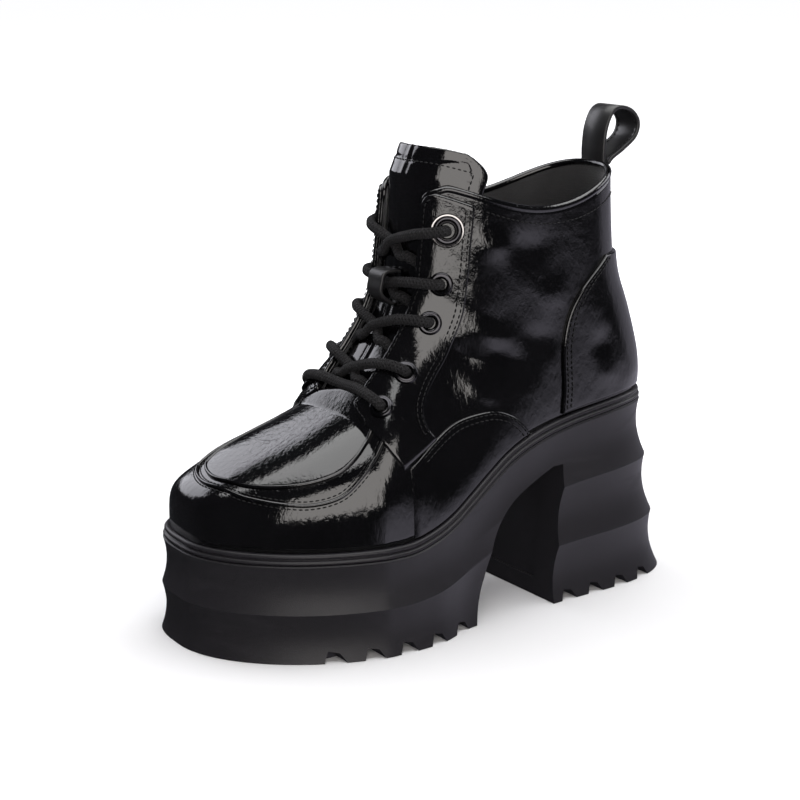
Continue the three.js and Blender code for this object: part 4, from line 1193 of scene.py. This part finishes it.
def fan_shares(body, back, seam):
    """Fan shares even along the foot, crowded round the heel and even up the back seam."""
    heel = 7 / FAN_LAST
    dense = np.linspace(0, heel, 4001)
    foot = np.maximum.accumulate(read(FAN, "index", "foot", dense * FAN_LAST))
    start = 1 - HEEL_ROUND / FOOT_REACH
    along = np.linspace(0, start, body + 1)[1:]
    turn = np.pi / 2 * np.linspace(0, 1, back + 1)[1:]
    round_shares = 1 - HEEL_ROUND / FOOT_REACH * (1 - np.sin(turn) ** (2 / BACK_ROUND))
    low = np.interp(np.concatenate([along, round_shares[:-1]]), foot, dense)
    high = heel + (1 - heel) * np.linspace(0, 1, seam + 1)
    return np.concatenate([low, high])


def upper_grid(body, back, seam, toe, rows):
    """Grid of the whole upper: columns from the lateral collar round the toe to the medial
    collar, rows from the feather line or back seam to the ridge or throat."""
    shares = fan_shares(body, back, seam)
    at = np.arange(rows + 1) / rows
    sides = {}
    for side, _ in SIDES:
        edge = throat_edge(side, shares)[:, None]
        power = fan_ends(shares)[4][:, None]
        crown = np.sin(np.pi / 2 * at)[None, :] ** (2 / power)
        smooth = (0.5 - 0.5 * np.cos(np.pi * at))[None, :]
        t = edge * (crown + (smooth - crown) * ramp(0.25, 0.5, shares)[:, None])
        sides[side] = body_point(side, shares[:, None], np.minimum(t, edge))
    turn = np.linspace(0, 1, toe + 1)
    tip = toe_point(turn[:, None], at[None, :])
    points = np.concatenate([sides[1][::-1], tip, sides[-1]])
    normals = grid_normals(points)
    pole = slice(len(shares), len(shares) + toe + 1)
    average = unit(normals[pole, -2].mean(axis=0))
    normals[pole, -1] = average
    closed = np.abs(points[:, -1, 0] - ridge_x(points[:, -1, 1])) < 1e-6
    normals[closed, -1, 0] = 0
    onseam = np.abs(points[:, 0, 0]) < 1e-6
    normals[onseam, 0, 0] = 0
    foot = np.abs(points[..., 2] - feather_z(points[..., 1])) < 0.02
    normals[..., 2] = np.where(foot, 0, normals[..., 2])
    return points, unit(normals)


class BOOT_OT_upper(bpy.types.Operator):
    """Hollow upper: patent shell with its creases, and the padded lining inside"""

    bl_idname = "boot.upper"
    bl_label = "Upper"

    def execute(self, context):
        for name, counts, depth, wall, finish, slot, replaced in (
                ("upper_skin", (70, 26, 44, 90, 96), 0.0, 1.1, "patent", "patent_leather",
                 ("upper",)),
                ("lining_skin", (50, 20, 40, 60, 64), -1.25, 1.0, "lining", "insole_lining", ())):
            points, normals = upper_grid(*counts)
            mesh = new_mesh(name, lifted(points, normals, depth), grid_faces(*points.shape[:2]))
            tidy_mesh(mesh)
            mesh_outward(mesh)
            solidify(finish_piece(name, mesh, finish_of(finish), replaced), wall)
        return {"FINISHED"}


def mesh_outward(mesh):
    """Turns an open sheet's faces away from the boot's middle if they point in."""
    centres = np.zeros(len(mesh.polygons) * 3)
    normals = np.zeros(len(mesh.polygons) * 3)
    mesh.polygons.foreach_get("center", centres)
    mesh.polygons.foreach_get("normal", normals)
    centres, normals = centres.reshape(-1, 3) * 1000 - SHIFT, normals.reshape(-1, 3)
    middle = np.stack([ridge_x(centres[:, 1]), centres[:, 1], centres[:, 2] - 20], 1)
    if np.sum(normals * (centres - middle)) < 0:
        mesh.flip_normals()


def eyestay_edges(side, count):
    """The facing's front and rear edges as fan share and distance from the ridge, from the
    wing seam at its foot up to the collar."""
    s = np.linspace(0.078, 0.985, 60)
    front = np.concatenate([EYESTAY_FRONT, np.stack([s, throat_run(side, s) + 0.6], 1)])
    rear = np.concatenate([EYESTAY_REAR, np.stack([s[14:], np.full(
        len(s) - 14, THROAT_HALF + EYESTAY_WIDTH)], 1)])
    scale = np.array([FAN_LENGTH, 1.0])
    return [curve_through(edge * scale, count * 3)[::3] / scale for edge in (front, rear)]


def arc_places(side, places):
    """Points of the outer form at loose pairs of fan share and distance from the ridge."""
    flat = places.reshape(-1, 2)
    return arc_points(side, flat[:, 0], flat[:, 1:]).reshape(places.shape[:-1] + (3,))


def eyestay_grid(side, rows, across):
    """Facing on the quarter's front edge, from the wing seam up to the collar: straight rows
    between the two edges."""
    front, rear = eyestay_edges(side, rows)
    column = crowded(EYESTAY_WIDTH, 1.2, across)[None, :, None]
    return arc_places(side, front[:, None] + (rear - front)[:, None] * column)


def counter_grid(rows, around):
    """Counter round the heel: columns at angles behind the seams, rows up the back."""
    column = 2 * crowded(130, 1.2, around) - 1
    row = crowded(65, 1.2, rows)
    up, turn = np.meshgrid(row, np.abs(column), indexing="ij")
    side = np.broadcast_to(np.where(column < 0, -1, 1), up.shape)
    away = read(COUNTER_SEAM, "up", "forward", up) * (1 - np.cos(np.pi / 2 * turn))
    low = feather_z(BACK_Y - away) + 1.5
    z = low + (COUNTER_TOP - low) * up
    y = back_y(z) - away
    points = on_side(side, np.minimum(y, back_y(z) - 1e-4), z)
    points[np.abs(turn) < 1e-9, 0] = 0
    return points


class BOOT_OT_overlays(bpy.types.Operator):
    """Eyestays, counter, side wings, toe apron, seam beads and the rolled collar edge"""

    bl_idname = "boot.overlays"
    bl_label = "Overlays"

    def execute(self, context):
        rise = sizes().panel_rise
        for side, name in SIDES:
            panel(f"eyestay_skin_{name}", eyestay_grid(side, 90, 26), OVERLAY_GAP, OVERLAY_TOP,
                  (f"eyestay_{name}",), under=0.5)
        panel("counter_skin", counter_grid(40, 80), OVERLAY_GAP, OVERLAY_TOP, ("counter",),
              under=0.5)
        for side, name in SIDES:
            line = curve_through(WING_SEAM, 60)
            row = crowded(25, 1.2, 24)
            low = feather_z(line[:, 0]) + 0.2
            z = low[:, None] + (line[:, 1] - low)[:, None] * row[None, :]
            y = np.broadcast_to(line[:, :1], z.shape)
            panel(f"wing_{name}", on_side(side, y, z), WING_BASE, rise, edge=0.9,
                  fade=ramp(*WING_FADE, y))
        self.apron(rise)
        self.binding()
        self.back_seam()
        return {"FINISHED"}

    def trim(self, name, rings):
        """A swept patent trim as its own piece."""
        finish_piece(name, tube_mesh(name, rings), finish_of("patent"))

    def apron(self, rise):
        """Apron between the inner seam's two sides, front to back, and both seams' beads."""
        outer = curve_through(SEAM_OUTER, 241)
        way = unit(np.gradient(outer, axis=0))
        share = np.abs(np.linspace(-1, 1, len(outer)))
        inward = (SEAM_BAND + 3 * share**4)[:, None] * np.stack([way[:, 1], -way[:, 0]], 1)
        inner = outer + inward * np.sign(np.sum(inward[120] * ([0, -60] - outer[120])))
        medial, lateral = inner[:121], inner[:119:-1]
        across = crowded(50, 1.2, 60)
        plan = (medial[:, None] + (lateral - medial)[:, None] * across[None, :, None])[:-1]
        panel("toe_apron", on_top(plan[..., 0], plan[..., 1]), STITCH_CLEAR, rise)
        bead = sizes().seam_bead / 2
        for name, path, height in (("outer", outer, 0.35), ("inner", inner, 0.5)):
            path = on_top(path[:, 0], path[:, 1])
            normal = form_normal(path, height=True)
            self.trim(f"toe_seam_{name}",
                      sweep(path + normal * height, normal, bead * 0.9, bead, 10))

    def back_seam(self):
        """Fine piping up the middle of the back, over the counter and on to the collar."""
        z = np.linspace(feather_z(BACK_Y) + 0.8, SHAFT_HEIGHT - 2.5, 120)
        height = 0.25 + (OVERLAY_TOP + 0.1 - 0.25) * ramp(COUNTER_TOP + 1.5, COUNTER_TOP - 2.5, z)
        path = np.stack([np.zeros(120), back_y(z) + height, z], 1)
        self.trim("back_seam", sweep(path, [0.0, 1.0, 0.0], 1.1, 0.65, 10))

    def binding(self):
        """Rolled edge from the lateral throat round the collar to the medial throat."""
        path = collar_path(220)
        up = path * [1.0, 1.0, 0.0] - SHAFT_MIDDLE
        taper = np.clip(np.minimum(np.arange(220), np.arange(220)[::-1]) / 10, 0.05, 1) ** 0.5
        half = sizes().binding / 2 * taper
        self.trim("collar_binding",
                  sweep(path + [0.0, 0.0, 0.2], unit(up), half * 0.86, half * 0.8, 14))


def collar_path(count):
    """The collar's edge in the middle of the wall, lateral throat to medial throat."""
    halves = []
    for side, _ in SIDES:
        s = np.linspace(0.90, 0.998, 60)
        front = body_point(side, s, throat_edge(side, s))
        edge = throat_edge(side, np.array([1.0]))[0]
        top = body_point(side, np.ones(count), np.linspace(edge, 0, count))
        halves.append(np.concatenate([front, top]))
    line = even(np.concatenate([halves[0], halves[1][-2::-1]]), count)
    for _ in range(3):
        line[1:-1] = (line[:-2] + 2 * line[1:-1] + line[2:]) / 4
    way = unit(np.gradient(line, axis=0))
    inward = SHAFT_MIDDLE - line * [1.0, 1.0, 0.0]
    inward = unit(inward - way * np.sum(inward * way, axis=1, keepdims=True))
    return line + inward * WALL / 2


# Tongue, keeper, eyelets and laces


def tongue_grid(rows, across):
    """Tongue: arcs of the closed form inside the wall, risen and leaned above the collar."""
    share = crowded(150, 1.4, rows)
    column = 2 * crowded(80, 1.4, across) - 1
    s = TONGUE_START + (1 - TONGUE_START) * np.minimum(1, share / TONGUE_COLLAR)
    above = np.maximum(0, share - TONGUE_COLLAR) / (1 - TONGUE_COLLAR)
    half = TONGUE_BASE + (TONGUE_HALF - TONGUE_BASE) * ramp(0, 0.75, share)
    corner = 1 - 0.3 * np.maximum(0, (above - 0.25) / 0.75) ** 3
    distance = (half * corner)[:, None] * np.abs(column)[None, :]
    points = np.where((column < 0)[None, :, None], arc_points(-1, s, distance),
                      arc_points(1, s, distance))
    points[..., 2] += (COLLAR_DIP * 0.25 * ramp(0.8, 1, s) + above * TONGUE_RISE)[:, None]
    points[..., 1] += (above * TONGUE_LEAN)[:, None]
    return points


class BOOT_OT_tongue(bpy.types.Operator):
    """Padded tongue with a middle seam and a stitched border"""

    bl_idname = "boot.tongue"
    bl_label = "Tongue"

    def execute(self, context):
        points = tongue_grid(110, 60)
        normals = grid_normals(points)
        near = border_distance(points)
        edge = 0.9 * (1 - rounded(near, 1.5))
        groove = 0.45 * np.exp(-(((near - TONGUE_BORDER) / 0.8) ** 2))
        offset = np.abs(points[..., 0] - ridge_x(points[..., 1]))
        ridge = 0.55 * np.exp(-((offset / 1.1) ** 2)) - 0.35 * np.exp(-(((offset - 2.2) / 1) ** 2))
        top = ridge * 0.7 - TONGUE_TUCK - edge - groove
        low = edge - TONGUE_TUCK - TONGUE_THICK
        mesh = closed_sheet("tongue_skin", points + normals * top[..., None],
                            points + normals * low[..., None])
        piece = finish_piece("tongue_skin", mesh, finish_of("patent_tongue"),
                             ("tongue",))
        return {"FINISHED"}


def arc_frame(side, s, distance):
    """Point of the outer form at a distance from the ridge, and its outward normal."""
    around = np.maximum([[distance - 1, distance, distance + 1]], 0.05)
    low, middle, high = (arc_points(side, np.array([at]), around)[0]
                         for at in (s - 0.01, s, min(1.0, s + 0.01)))
    normal = unit(np.cross(high[1] - low[1], middle[2] - middle[0]))
    return middle[1], -normal if normal[0] * side < 0 else normal


def eyelet_run(side, eyelet):
    """Distance from the ridge to an eyelet's middle."""
    return throat_run(side, np.array([eyelet[0]]))[0] + EYESTAY_WIDTH * eyelet[1]


def lathe(centre, normal, profile, count=56):
    """Rings of a profile of radius and height about an axis."""
    across = unit(np.cross(normal, [0.0, 0.0, 1.0]))
    other = np.cross(normal, across)
    angle = 2 * np.pi * np.arange(count) / count
    circle = (np.cos(angle)[:, None] * across + np.sin(angle)[:, None] * other)
    profile = np.asarray(profile, float)
    return (centre + circle[None] * profile[:, 0, None, None]
            + normal * profile[:, 1, None, None])


class BOOT_OT_eyelets(bpy.types.Operator):
    """Ring eyelets, black with a plain bright pair at the top"""

    bl_idname = "boot.eyelets"
    bl_label = "Eyelets"

    def execute(self, context):
        for side, name in SIDES:
            for number, eyelet in enumerate(EYELETS, start=1):
                centre, normal = arc_frame(side, eyelet[0], eyelet_run(side, eyelet))
                outer, hole = eyelet[2] / 2, eyelet[3] / 2
                base = OVERLAY_TOP
                crest = base + EYELET_HEIGHT * 0.85
                middle = (outer + hole) / 2
                profile = [(hole, base - 2.2), (hole, base + 0.6), (hole + 0.35, crest - 0.25),
                           (hole + 0.9, crest), (middle, crest - 0.25)]
                if number == 1:
                    profile = profile[:2] + [
                        (hole + 0.25, crest - 0.2), (hole + 0.6, crest - 0.05),
                        (hole + 0.9, crest - 0.5), (outer - 1.15, crest - 0.5),
                        (outer - 0.95, crest), (outer - 0.4, crest - 0.05),
                        (outer, base + 0.35), (outer, base - 0.1)]
                    inlay = [(hole + 0.7, crest - 0.75), (hole + 0.9, crest - 0.25),
                             (outer - 1.15, crest - 0.25), (outer - 0.95, crest - 0.75),
                             (hole + 0.7, crest - 0.75)]
                    mesh = ring_solid(f"eyelet_inlay_{name}", lathe(centre, normal, inlay),
                                      capped=False)
                    tidy_mesh(mesh)
                    finish_piece(f"eyelet_inlay_{name}", mesh, finish_of("enamel"))
                else:
                    profile += [(outer - 1.1, crest - 0.2), (outer - 0.6, crest - 0.35),
                                (outer - 0.1, base + 0.45), (outer, base - 0.1)]
                profile += [(outer - 0.8, base - 0.2), (hole + 0.8, base - 2.2),
                            (hole, base - 2.2)]
                rings = lathe(centre, normal, profile)
                label = f"eyelet_ring_{name}_{number}"
                mesh = ring_solid(label, rings, capped=False)
                tidy_mesh(mesh)
                metal_name, slot = (("silver", "silver_eyelet") if number == 1
                                    else ("enamel", "black_eyelet"))
                finish_piece(label, mesh, finish_of(metal_name),
                             (f"eyelet_{name}_{number}",))
                mesh.set_sharp_from_angle(angle=math.radians(50))
        return {"FINISHED"}


def lifted_arc(side, s, distance, height):
    """Point a height above the form at a distance from the ridge."""
    point, normal = arc_frame(side, s, distance)
    if distance < 3:
        normal = unit(normal * np.array([0.3, 1, 1]))
    return point + normal * height


def middle_point(s, height):
    """Point above the tongue's middle."""
    point = body_point(1, np.array(s), np.array(1.0))
    return point + unit(np.array([0, -1, 0.35])) * height


def lace_paths():
    """Each lace run as points from its eyelet over the tongue and under the other facing to
    the next eyelet, with the half thickness at each point."""
    radius = LACE_DIAMETER / 2
    over = OVERLAY_TOP + EYELET_HEIGHT + radius * 0.62
    facing = OVERLAY_TOP + radius * 0.9
    tongue = radius + LACE_CLEAR - TONGUE_TUCK
    runs = []

    def start(side, eyelet, middle):
        """Up through an eyelet and over the facing's edge towards the middle."""
        s, _, outer, _ = eyelet
        throat = throat_run(side, np.array([s]))[0]
        centre = eyelet_run(side, eyelet)
        places = ((centre + 0.4, OVERLAY_TOP - 2.0, 0.75), (centre, OVERLAY_TOP + 0.6, 0.85),
                  (centre - 1.6, over - 0.6, 0.9), (centre - outer / 2, over, 0.95),
                  ((throat + centre - outer / 2) / 2, facing + 0.3, 1.0),
                  (throat - 2, facing - 0.6, 1.0))
        return [(lifted_arc(side, middle + (s - middle) * min(1.0, distance / centre), distance,
                            height), scale) for distance, height, scale in places]

    def finish(side, upper, lower):
        """Down over the tongue and under the facing to the next eyelet."""
        s = upper[0] + (lower[0] - upper[0]) * 0.72
        throat = throat_run(side, np.array([s]))[0]
        distance = throat - WALL - radius - 1
        return [(lifted_arc(side, s, distance * 0.6, tongue), 1.0),
                (lifted_arc(side, s, distance, tongue - 0.3), 0.9),
                (lifted_arc(side, s + (lower[0] - s) * 0.4, throat + 3, -WALL - 0.5), 0.25),
                (lifted_arc(side, lower[0], eyelet_run(side, lower) + 1.5, -WALL - 0.5), 0.25)]

    for upper, lower in zip(EYELETS[:-1], EYELETS[1:]):
        for side, _ in SIDES:
            middle = (upper[0] + lower[0]) / 2
            runs.append(start(side, upper, middle)
                        + [(middle_point(middle, tongue + (1.4 if side > 0 else -0.4)), 1.0)]
                        + finish(-side, upper, lower))
    lowest = EYELETS[-1]
    runs.append(start(1, lowest, lowest[0]) + [(middle_point(lowest[0], tongue + 1.2), 1.0)]
                + start(-1, lowest, lowest[0])[::-1])
    return runs


class BOOT_OT_laces(bpy.types.Operator):
    """Braided lace through the eyelets: crossings over the tongue and a bar at the bottom"""

    bl_idname = "boot.laces"
    bl_label = "Laces"

    def execute(self, context):
        radius = LACE_DIAMETER / 2
        runs = lace_paths()
        groups = [(f"lace_cross_skin_{pair + 1}", runs[2 * pair:2 * pair + 2],
                   f"lace_cross_{pair + 1}") for pair in range(4)]
        groups.append(("lace_bar_skin", runs[8:], "lace_bar"))
        for name, members, node in groups:
            meshes = []
            for run in members:
                points = np.array([point for point, _ in run])
                share = np.array([[scale, scale, scale] for _, scale in run])
                path = curve_through(np.concatenate([points, share], axis=1), 90)
                line, scale = path[:, :3], path[:, 3]
                up = unit(line - np.stack([ridge_x(line[:, 1]) * 0.5, line[:, 1] + 12,
                                           line[:, 2] - 6], 1))
                rings = sweep(line, up, radius * 1.08, radius * 0.92 * np.clip(scale, 0.2, 1), 16)
                meshes.append(tube_mesh(name, rings))
            finish_piece(name, join_meshes(name, meshes), finish_of("lace"),
                         (node,))
        return {"FINISHED"}


class BOOT_OT_keeper(bpy.types.Operator):
    """Lace keeper: a short strap over the second crossing"""

    bl_idname = "boot.keeper"
    bl_label = "Lace keeper"

    def execute(self, context):
        middle = (EYELETS[1][0] + EYELETS[2][0]) / 2
        share = 2 * crowded(30, 1, 26) - 1
        across = 2 * crowded(KEEPER_WIDTH, 0.9, 8) - 1
        line = body_point(1, middle + share * KEEPER_SPAN, np.ones(len(share)))
        bow = (1 - np.abs(share) ** 5) * (LACE_DIAMETER + LACE_CLEAR + KEEPER_ARCH)
        arch = bow + FIT * 2 - TONGUE_TUCK
        line = line + arch[:, None] * [0.0, -1.0, 0.3]
        points = line[:, None] + np.array([1.0, 0, 0]) * (across * KEEPER_WIDTH / 2)[None, :, None]
        normal = unit(np.cross(np.gradient(points, axis=1), np.gradient(points, axis=0)))
        if normal[..., 1].mean() > 0:
            normal = -normal
        bulge = rounded(border_distance(points), 0.7)
        mesh = closed_sheet(
            "keeper_strap",
            points + normal * (FIT + KEEPER_THICK * (0.45 + 0.55 * bulge))[..., None],
            points + normal * FIT)
        finish_piece("keeper_strap", mesh, finish_of("strap"), ("lace_keeper",))
        return {"FINISHED"}


class BOOT_OT_pull_loop(bpy.types.Operator):
    """Pull loop: a folded strap with stitched edges at the back of the collar"""

    bl_idname = "boot.pull_loop"
    bl_label = "Pull loop"

    def execute(self, context):
        path = np.array([(0.0, float(back_y(SHAFT_HEIGHT)) + back * LOOP_HEIGHT,
                          SHAFT_HEIGHT + up * LOOP_HEIGHT) for back, up in LOOP_PATH])
        path = curve_through(path, 90)
        across = np.broadcast_to([1.0, 0.0, 0.0], path.shape)
        tangent = unit(np.gradient(path, axis=0))
        normal = np.cross(tangent, across)
        half, thick = LOOP_WIDTH / 2, LOOP_THICK / 2
        edge = ((0.0, 0.5), (0.35, 1.0), (1.6, 1.05), (2.2, 0.75), (2.9, 1.05))
        section = np.array([(-half, -thick * 0.5),
                            *((inset - half, up * thick) for inset, up in edge),
                            (0, thick * 1.12),
                            *((half - inset, up * thick) for inset, up in edge[::-1]),
                            (half, -thick * 0.5), (half - 0.35, -thick), (0, -thick),
                            (-half + 0.35, -thick)])
        rings = (path[:, None] + across[:, None] * section[None, :, :1]
                 + normal[:, None] * section[None, :, 1:])
        mesh = tube_mesh("pull_loop_strap", rings)
        finish_piece("pull_loop_strap", mesh, finish_of("strap"), ("pull_loop",))
        runs = [(path + across * side * (half - 2.2) + normal * thick * 0.85, normal)
                for side in (-1, 1)]
        stitch_piece("pull_loop_stitches", runs)
        return {"FINISHED"}


class BOOT_OT_stitching(bpy.types.Operator):
    """Sewn rows on the eyestays, counter, wings, tongue, toe seam and collar"""

    bl_idname = "boot.stitching"
    bl_label = "Stitching"

    def execute(self, context):
        runs = []
        for side, _ in SIDES:
            runs += self.eyestay(side)
            runs += self.wing(side)
            runs += self.counter(side)
            runs += self.collar(side)
        runs += self.toe()
        stitch_piece("upper_stitches", runs)
        stitch_piece("tongue_stitches", self.tongue())
        return {"FINISHED"}

    def eyestay(self, side):
        """Rows on the facing: two behind the eyelets and one along the front edge."""
        rows = []
        front, rear = eyestay_edges(side, 160)
        for edge, shifts in ((front, (2.2,)), (rear, (-1.9, -4.2))):
            sideways = np.array([[0.0, -1.0], [0, 0], [0, 1.0]])
            grid = arc_places(side, edge[:, None] + sideways[None])
            normal = grid_normals(grid)[:, 1]
            path = lifted(grid[:, 1], normal, OVERLAY_TOP + STITCH_CLEAR)
            for shift in shifts:
                line = beside(path, normal, -shift * side)
                rows.append((line[2:-3], normal[2:-3]))
        return rows

    def wing(self, side):
        """Two rows above and below the wing's seam."""
        rows = []
        for drop in (1.5, 3.7):
            line = curve_through(WING_SEAM, 90)
            way = unit(np.gradient(line, axis=0))
            line = line + np.stack([way[:, 1], -way[:, 0]], 1) * drop
            points = on_side(side, line[:, 0], line[:, 1])
            normal = form_normal(points)
            height = WING_BASE + (sizes().panel_rise - WING_BASE) * ramp(*WING_FADE, line[:, 0])
            path = lifted(points, normal, np.maximum(height, 0) + STITCH_CLEAR)
            rows.append((path[10:-3], normal[10:-3]))
        return rows

    def counter(self, side):
        """Two rows inside the counter's front edge."""
        rows = []
        up = np.linspace(0.02, 0.98, 90)
        for inset in (2.0, 4.4):
            away = read(COUNTER_SEAM, "up", "forward", up) - inset
            low = feather_z(BACK_Y - away) + 1.5
            z = low + (COUNTER_TOP - low) * up
            points = on_side(side, back_y(z) - away, z)
            normal = form_normal(points)
            rows.append((lifted(points, normal, OVERLAY_TOP + STITCH_CLEAR), normal))
        return rows

    def collar(self, side):
        """One row below the collar's rolled edge."""
        s = np.full(120, 0.97)
        points = body_point(side, s, np.linspace(0.06, throat_edge(side, s[:1])[0] * 0.80, 120))
        normal = form_normal(points)
        return [(lifted(points, normal, STITCH_CLEAR), normal)]

    def toe(self):
        """A row on each side of the toe's outer seam."""
        rows = []
        line = curve_through(SEAM_OUTER, 200)
        points = on_top(line[:, 0], line[:, 1])
        normal = form_normal(points, height=True)
        for shift in (-1.7, 1.7):
            rows.append((beside(lifted(points, normal, 0.0), normal, shift), normal))
        return rows

    def tongue(self):
        """Border row on the tongue: up one side, across the top and down the other."""
        points = tongue_grid(110, 60)
        normals = grid_normals(points)
        skin = points + normals * (-TONGUE_TUCK - 0.15)
        near = np.abs(border_distance(points) - TONGUE_BORDER)
        rows, across = points.shape[:2]
        column = near[:, :across // 2].argmin(axis=1)
        top = int(near[rows // 2:, across // 2].argmin()) + rows // 2
        up = [(row, column[row]) for row in range(8, top)]
        over = [(top, j) for j in range(column[top - 1], across - column[top - 1], 2)]
        down = [(row, across - 1 - at) for row, at in up[::-1]]
        row, at = np.array(up + over + down).T
        return [(skin[row, at], normals[row, at])]


# Stage: the camera in the boot's own millimetres, the rest in metres

CAMERA_PLACE = (649.6, -447.4, 298.9)
CAMERA_TARGET = (-13.715, 0.0, 94.95)
CAMERA_LENS = 81.0
STAGE_RADIUS = 16.0
ROOM_DARK = (0.032, 0.033, 0.037, 1.0)
ROOM_GLOW = (0.75, 0.72, 0.85, 1.0)
# Name, place, point looked at, size, power and tint of each soft light
LIGHTS = (
    ("top_box", (0.0, 0.15, 1.9), (0.0, 0.0, 0.0), (2.2, 2.2), 52.0, (1.0, 1.0, 1.0)),
    ("side_box", (1.60, -0.62, 0.62), (0.0, 0.0, 0.12), (1.75, 1.3), 22.0, (1.0, 0.96, 0.93)),
    ("left_box", (-1.61, -0.35, 0.86), (0.0, 0.0, 0.1), (1.2, 0.9), 8.5, (0.93, 0.93, 1.0)),
    ("back_box", (0.2, 1.7, 0.9), (0.0, 0.0, 0.1), (1.2, 0.8), 8.0, (0.95, 0.95, 1.0)),
)


def staged(name, radii, heights, finish):
    """A round surface of the stage: circles of radii at heights, joined in turn."""
    angle = 2 * np.pi * np.arange(96) / 96
    circle = np.stack([np.cos(angle), np.sin(angle), np.zeros(96)], -1)
    rings = (np.asarray(radii)[:, None, None] * circle
             + np.asarray(heights)[:, None, None] * [0.0, 0.0, 1.0])
    mesh = bpy.data.meshes.new(name)
    mesh.from_pydata(rings.reshape(-1, 3), [],
                     [list(face) for face in grid_faces(len(radii), 96, closed=True)])
    if mesh.polygons[0].normal.z < -0.5:
        mesh.flip_normals()
    mesh.materials.append(finish)
    surface = bpy.data.objects.new(name, mesh)
    bpy.context.scene.collection.objects.link(surface)
    return surface


def aimed(name, data, place, look):
    """A light or the camera at a place, turned to look at a point."""
    item = bpy.data.objects.new(name, data)
    item.location = place
    item.rotation_mode = "QUATERNION"
    item.rotation_quaternion = (Vector(look) - Vector(place)).to_track_quat("-Z", "Y")
    bpy.context.scene.collection.objects.link(item)
    return item


def studio_world():
    """Dim room with two soft glows, by the direction of a ray: one low down behind the boot, as
    from the floor, and one upright at the side where the heel's edge mirrors it."""
    surround = Surround("studio")
    place = surround.place("Generated")
    x, y, z = (surround.node("ShaderNodeSeparateXYZ", None, {"Vector": place}, output=axis)
               for axis in "XYZ")
    low = (x * 0.208 + y * 0.978).clamped(0.25, 0.55) * (0 - z).clamped(0.13, 0.28)
    edge = (y * 0.899 - x * 0.438).clamped(0.72, 0.86) * (0.25 - z).clamped(0.0, 0.15)
    glow = low.maths("MAXIMUM", edge * 0.45)
    return surround.feed(Color=surround.mix(glow, ROOM_DARK, ROOM_GLOW))


class BOOT_OT_stage(bpy.types.Operator):
    """Pale floor, soft studio lights and the camera at the photograph's angle"""

    bl_idname = "boot.stage"
    bl_label = "Stage"

    def execute(self, context):
        scene = context.scene
        pale = floor_finish(shades().floor)
        radii = (1e-4, 0.2, 0.6, 2.0, STAGE_RADIUS)
        floor = staged("floor", radii, np.full(5, -0.0002), pale)
        floor.visible_glossy = False
        wall = staged("backdrop", (STAGE_RADIUS, STAGE_RADIUS), (-0.1, 14.0), pale)
        wall.visible_glossy = wall.visible_diffuse = wall.visible_shadow = False
        for name, place, look, size, power, tint in LIGHTS:
            lamp = bpy.data.lights.new(name, "AREA")
            lamp.shape, lamp.size, lamp.size_y = "RECTANGLE", size[0], size[1]
            lamp.energy, lamp.color = power, tint
            aimed(name, lamp, place, look)
        scene.world = studio_world()
        camera = bpy.data.cameras.new("camera")
        camera.lens, camera.sensor_width = CAMERA_LENS, 36.0
        camera.clip_start, camera.clip_end = 0.05, 60.0
        scene.camera = aimed("camera", camera, (np.array(CAMERA_PLACE) + SHIFT) / 1000,
                             (np.array(CAMERA_TARGET) + SHIFT) / 1000)
        scene.view_settings.view_transform = "Standard"
        return {"FINISHED"}


STEPS = ("stage", "sole", "welt", "insole", "upper", "overlays", "tongue", "eyelets", "laces",
         "keeper", "pull_loop", "stitching")


class BOOT_PT_panel(bpy.types.Panel):
    """Lists the boot's pieces and values"""

    bl_idname = "BOOT_PT_panel"
    bl_label = "Platform boot"
    bl_space_type = "VIEW_3D"
    bl_region_type = "UI"
    bl_category = "Boot"

    def draw(self, context):
        for step in STEPS:
            self.layout.operator(f"boot.{step}")
        for group in (context.scene.boot_sizes, context.scene.boot_colours):
            for name in group.bl_rna.properties.keys():
                if name not in ("rna_type", "name"):
                    self.layout.prop(group, name)


CLASSES = (BootSizes, BootColours, BOOT_OT_stage, BOOT_OT_sole, BOOT_OT_welt, BOOT_OT_insole,
           BOOT_OT_upper, BOOT_OT_overlays, BOOT_OT_tongue, BOOT_OT_eyelets, BOOT_OT_laces,
           BOOT_OT_keeper, BOOT_OT_pull_loop, BOOT_OT_stitching, BOOT_PT_panel)


def register():
    """Registers the classes and the scene's groups of values."""
    for item in CLASSES:
        bpy.utils.register_class(item)
    bpy.types.Scene.boot_sizes = bpy.props.PointerProperty(type=BootSizes)
    bpy.types.Scene.boot_colours = bpy.props.PointerProperty(type=BootColours)


def unregister():
    """Takes both away again."""
    del bpy.types.Scene.boot_sizes
    del bpy.types.Scene.boot_colours
    for item in reversed(CLASSES):
        bpy.utils.unregister_class(item)


def main():
    """Makes every piece in order."""
    register()
    for step in STEPS:
        getattr(bpy.ops.boot, step)()


if __name__ == "__main__":
    main()
